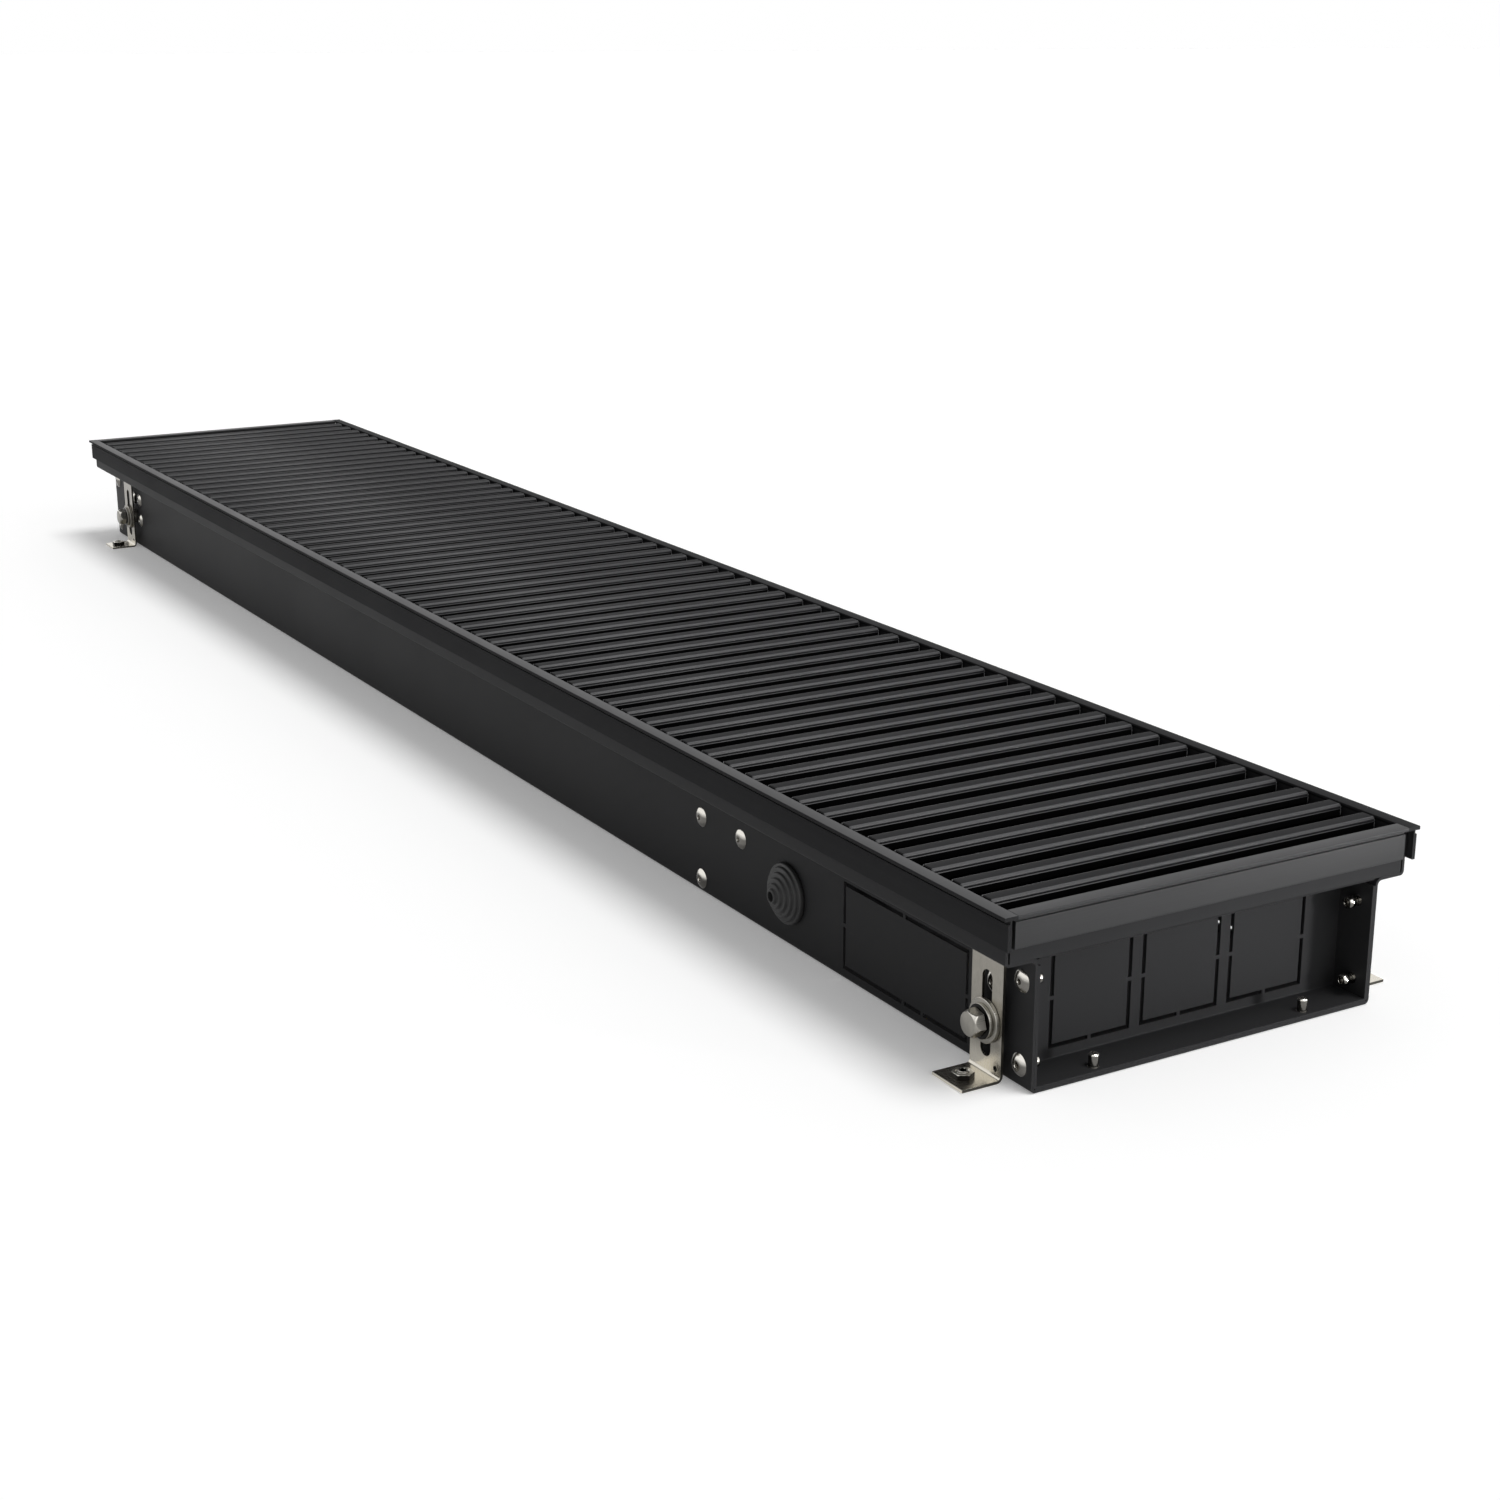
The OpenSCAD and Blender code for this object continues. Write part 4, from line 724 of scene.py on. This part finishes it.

# Blind rivets: bright steel. Outside is the dome with the hole that the broken mandrel leaves, and inside
# is the tail that the mandrel has swollen. The polished dome is painted brightest where it looks up, as a
# painted highlight.
# Faces of the domes that look up are painted pale, as a painted highlight.
rivet_steel = bright_steel("bright rivet steel", "Y", "#5f5d59", "#75736f", 0.14, 0.22, 0.3 * mm, None,
                           ("#e9e6de", 0.05, 0.42))
dome = np.array([(0.05, 0.9), (1.1, 0.9), (1.14, -1.3), (1.28, -1.49), (1.6, -1.5), (2.4, -1.4), (3.3, -1.08),
                 (4.1, -0.6), (4.55, -0.25), (4.7, -0.1), (4.65, -0.05), (2.4, -0.05)])
tail = np.array([(2.4, 0.02), (1.75, 0.1), (1.7, 0.9), (1.85, 1.7), (2.25, 2.6), (2.6, 3.5), (2.69, 4.4),
                 (2.6, 5.2), (2.35, 5.75), (1.95, 6.0), (1.5, 5.95), (1.35, 5.6), (1.3, 4.2), (0.05, 4.2)])


def rivets(places, grip, side):
    """Rivets in the wall on one side at (x, z) places: the dome outside, a shank as long as the grip, and the
    tail inside."""
    heights = np.concatenate([dome[:, 1], tail[:, 1] + grip]) * mm
    radii = np.concatenate([dome[:, 0], tail[:, 0]]) * mm
    return [skin(turned((x, side * wall, z), (0, -side, 0), heights, radii, 32)) for x, z in places]


def middle_x(name):
    """The middle of a node's box along X."""
    low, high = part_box(name)
    return (low.x + high.x) / 2


high_row, low_row = 36.5 * mm, 6.5 * mm
console_x = 341 * mm
console_end = 389 * mm
far_support_x = -537 * mm
wall_places = [(console_x + 6 * mm, high_row), (console_x + 6 * mm, low_row),
               (console_end - 6 * mm, high_row), (far_support_x, high_row), (far_support_x, 21 * mm)]
right_bracket = middle_x("bracket_front_right")
left_bracket = middle_x("bracket_front_left")
doubler_shift = 1.5 * mm
doubler_places = [(right_bracket - doubler_shift, high_row), (left_bracket + doubler_shift, high_row)]
end_row_x = 592 * mm
end_places = [(s * end_row_x, z) for s in (1, -1) for z in (43 * mm, 9 * mm)]
make("wall_rivet_set",
     [r for s in (-1, 1) for r in rivets(wall_places, 2.8, s) + rivets(doubler_places, 2.8, s)],
     rivet_steel, "casing", ["wall_rivets"], sharp=50)
make("end_rivet_set", [r for s in (-1, 1) for r in rivets(end_places, 2.5, s)], rivet_steel,
     "casing", ["end_plate_rivets"], sharp=50)
floor_row_x, floor_row_y = 595.8 * mm, 53.3 * mm
floor_places = [(s * floor_row_x, t * floor_row_y) for s in (1, -1) for t in (1, -1)]
floor_heights = np.array([0, 0.05, 1.15, 2.5, 2.55, 3.0, 4.0, 7.0, 7.6, 7.95, 7.9, 7.2, 7.2]) * mm
floor_radii = np.array([3.3, 3.5, 2.4, 2.4, 2.1, 2.05, 2.05, 2.1, 2.0, 1.6, 0.8, 0.7, 0.05]) * mm
make("floor_rivet_set", [skin(turned((x, y, 0), (0, 0, 1), floor_heights, floor_radii, 32))
                         for x, y in floor_places],
     rivet_steel, "casing", ["floor_rivets"], sharp=50)

# Brackets: 1.2 mm stainless steel strip with a punched slot, bent to an L with its foot outwards. Each hangs
# on a clamped bolt, so the heater can be set to the height of the finished floor.
# The strip is brushed grey above, and it is painted brighter towards the bend as a painted reflection of the
# bright foot and floor. Its side edges are painted dull and dark as painted shade.
stainless = bright_steel("rolled stainless strip", "Z", "#827f78", "#928e86", 0.2, 0.3, 0.22 * mm,
                         ("#dcd7cb", 5 * mm, 15 * mm))


def rounded_copy(name, node, material, body, width):
    """A copy of a CAD node with its triangles merged and its sharp edges rounded."""
    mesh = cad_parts[node].data.copy()
    mesh.name = name
    work = bmesh.new()
    work.from_mesh(mesh)
    bmesh.ops.remove_doubles(work, verts=work.verts, dist=0.001 * mm)
    bmesh.ops.dissolve_limit(work, angle_limit=math.radians(1), verts=work.verts, edges=work.edges)
    work.to_mesh(mesh)
    work.free()
    mesh.materials.clear()
    mesh.materials.append(material)
    mesh.shade_smooth()
    mesh.set_sharp_from_angle(angle=math.radians(35))
    made = bpy.data.objects.new(name, mesh)
    bpy.context.scene.collection.objects.link(made)
    ease = made.modifiers.new("eased edges", "BEVEL")
    ease.width = width
    ease.segments = 2
    ease.limit_method = "ANGLE"
    ease.angle_limit = math.radians(40)
    ease.harden_normals = False
    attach(made, body)
    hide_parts(node)
    return made


painted_shade_edge_steel = bright_steel("strip edge painted with shade", "Y", "#3c3a36", "#4a4843", 0.3, 0.4, 0.25 * mm)
for corner in ("front_right", "front_left", "rear_right", "rear_left"):
    strip = rounded_copy("strip_" + corner, "bracket_" + corner, stainless, "bracket_" + corner,
                         0.25 * mm)
    # The strip's edges that face along X are painted dark as painted shade.
    second_finish(strip, painted_shade_edge_steel, lambda centres, normals: np.abs(normals[:, 0]) > 0.8)

# Bracket bolts: M6 hexagon bolts, each with a conical spring washer and a broad flat washer, in a rivet nut
# whose thick flange keeps the bracket clear of the wall. The zinc is painted pale where it looks up, as a
# painted highlight, and the spring washer's faces are painted black as painted shade. Tightening left each
# head a few steps round from upright.
plated = bright_steel("bright zinc plate", "Y", "#7f7d77", "#918e87", 0.26, 0.36, 0.25 * mm, None,
                      ("#e4e1d9", 0.25, 0.8))
# Black steel for the earth parts, also painted on the washers' faces, the screw sockets and the nut sides as
# painted shade.
black_steel_and_shade = bright_steel("black steel and painted shade", "Y", "#100f0e", "#1a1918", 0.3, 0.4, 0.25 * mm)
around = 96
bolt_z = 22.5 * mm
head_seat = 94.15 * mm
head_flats = 10
flat_seat = 90.45 * mm
cone_seat = 92.3 * mm
wrench_turn = 5
six = np.roll(hexagon_radius(head_flats, around), wrench_turn)
corner_radius = head_flats / 2 / math.cos(math.pi / 6)
face_radius = head_flats / 2 - 0.2
head_rows = np.array([0, 0.12, 0.5, 2.0, 2.6, 3.1, 3.6, 4.0, 4.3, 4.55, 4.75, 4.9, 4.98, 5.0])
cone = np.interp(head_rows, [3.2, 4.9, 5.0], [corner_radius, face_radius, face_radius - 0.25])
head_radii = np.minimum(six, cone[:, None])
head_radii[0] -= 0.12
thread_rows, thread_radii = threaded(-20.0, -6.0, 2.5, 0.42, 1.0, around, 8, 1.0)
bolt_rows = np.concatenate([thread_rows, [-5.9, -0.01], head_rows, [5.0]])
bolt_radii = np.concatenate([thread_radii, np.full((2, around), 2.9), head_radii, np.full((1, around), 0.05)])
bolts = []
washers = []
spring_washers = []
for side in (-1, 1):
    for x in (right_bracket, left_bracket):
        bolts.append(skin(turned((x, side * head_seat, bolt_z), (0, side, 0), bolt_rows * mm,
                                 bolt_radii * mm, around)))
        flat = eased([(0, 3.1), (0, 9), (1.8, 9), (1.8, 3.1)], [0.15, 0.35, 0.35, 0.15], 4)
        washers.append(skin(turned((x, side * flat_seat, bolt_z), (0, side, 0), flat[:, 0] * mm,
                                   flat[:, 1] * mm, 64), True))
        cone = eased([(0.3, 3.1), (0, 7.1), (1.5, 7.1), (1.8, 3.1)], [0.15, 0.3, 0.3, 0.15], 4)
        spring_washers.append(skin(turned((x, side * cone_seat, bolt_z), (0, side, 0), cone[:, 0] * mm,
                                          cone[:, 1] * mm, 64), True))
make("hexagon_bolts", bolts, plated, "casing", ["bracket_bolts"], sharp=28)
make("flat_washers", washers, plated, "casing", ["bracket_flat_washers"])
conical = make("conical_washers", spring_washers, plated, "casing", ["bracket_spring_washers"])
# The washers' flat faces are painted black as painted shade.
second_finish(conical, black_steel_and_shade, lambda centres, normals: np.abs(normals[:, 1]) > 0.8)
finish_node("bracket_rivet_nuts", plated)

# Levelling screws: an M5 grub screw with a hexagon socket in each foot, held by a thin lock nut. The socket
# and the nut's sides are painted black as painted shade, and the upper rims are painted pale as a painted
# highlight.
key_flats = 2.5
key_depth = 1.8
screw_top = 4.2
nut_seat = 1.25
foot_line = 100.7 * mm
for corner in ("front_right", "front_left", "rear_right", "rear_left"):
    x = right_bracket if "right" in corner else left_bracket
    y = foot_line if "rear" in corner else -foot_line
    rows, radii = threaded(0.0, screw_top - 0.45, 2.05, 0.38, 0.8, 48, 8, 0.5)
    key = hexagon_radius(key_flats, 48)
    key_rows = [screw_top - 0.1, screw_top, screw_top, screw_top - 0.2, screw_top - key_depth,
                screw_top - key_depth - 0.3]
    key_radii = [key * 0 + 2.15, key * 0 + 2.0, key * 0 + 1.65, key, key, key * 0 + 0.05]
    screw = skin(turned((x, y, 0), (0, 0, 1), np.concatenate([rows, key_rows]) * mm,
                        np.concatenate([radii, key_radii]) * mm, 48))
    grub = make("grub_screw_" + corner, [screw], plated, "bracket_" + corner,
                ["level_screw_" + corner], sharp=28)
    # The socket is painted black as painted shade.
    second_finish(grub, black_steel_and_shade,
                  lambda centres, normals: np.hypot(centres[:, 0] - x, centres[:, 1] - y) < 1.5 * mm)
    six = hexagon_radius(8, 48)
    ring = six * 0
    nut_rows = [0, 0.12, 0.5, 1.9, 2.1, 2.25, 2.36, 2.4, 2.4, 2.1, 0]
    nut_radii = [np.minimum(six, 4.2), six, six, np.minimum(six, 4.62), np.minimum(six, 4.45),
                 np.minimum(six, 4.2), ring + 3.9, ring + 3.75, ring + 2.85, ring + 2.52, ring + 2.52]
    nut = skin(turned((x, y, nut_seat * mm), (0, 0, 1), np.array(nut_rows) * mm,
                      np.array(nut_radii) * mm, 48), True)
    thin = make("thin_nut_" + corner, [nut], plated, "bracket_" + corner,
                ["lock_nut_" + corner], sharp=28)
    # The nut's sides are painted black as painted shade.
    second_finish(thin, black_steel_and_shade, lambda centres, normals: np.abs(normals[:, 2]) < 0.5)

# Earth point: a steel stud with a washer and nut on the casing floor, for the green and yellow wire. All
# three are blackened steel.
for name in ("earth_stud", "earth_washer", "earth_nut"):
    finish_node(name, black_steel_and_shade)
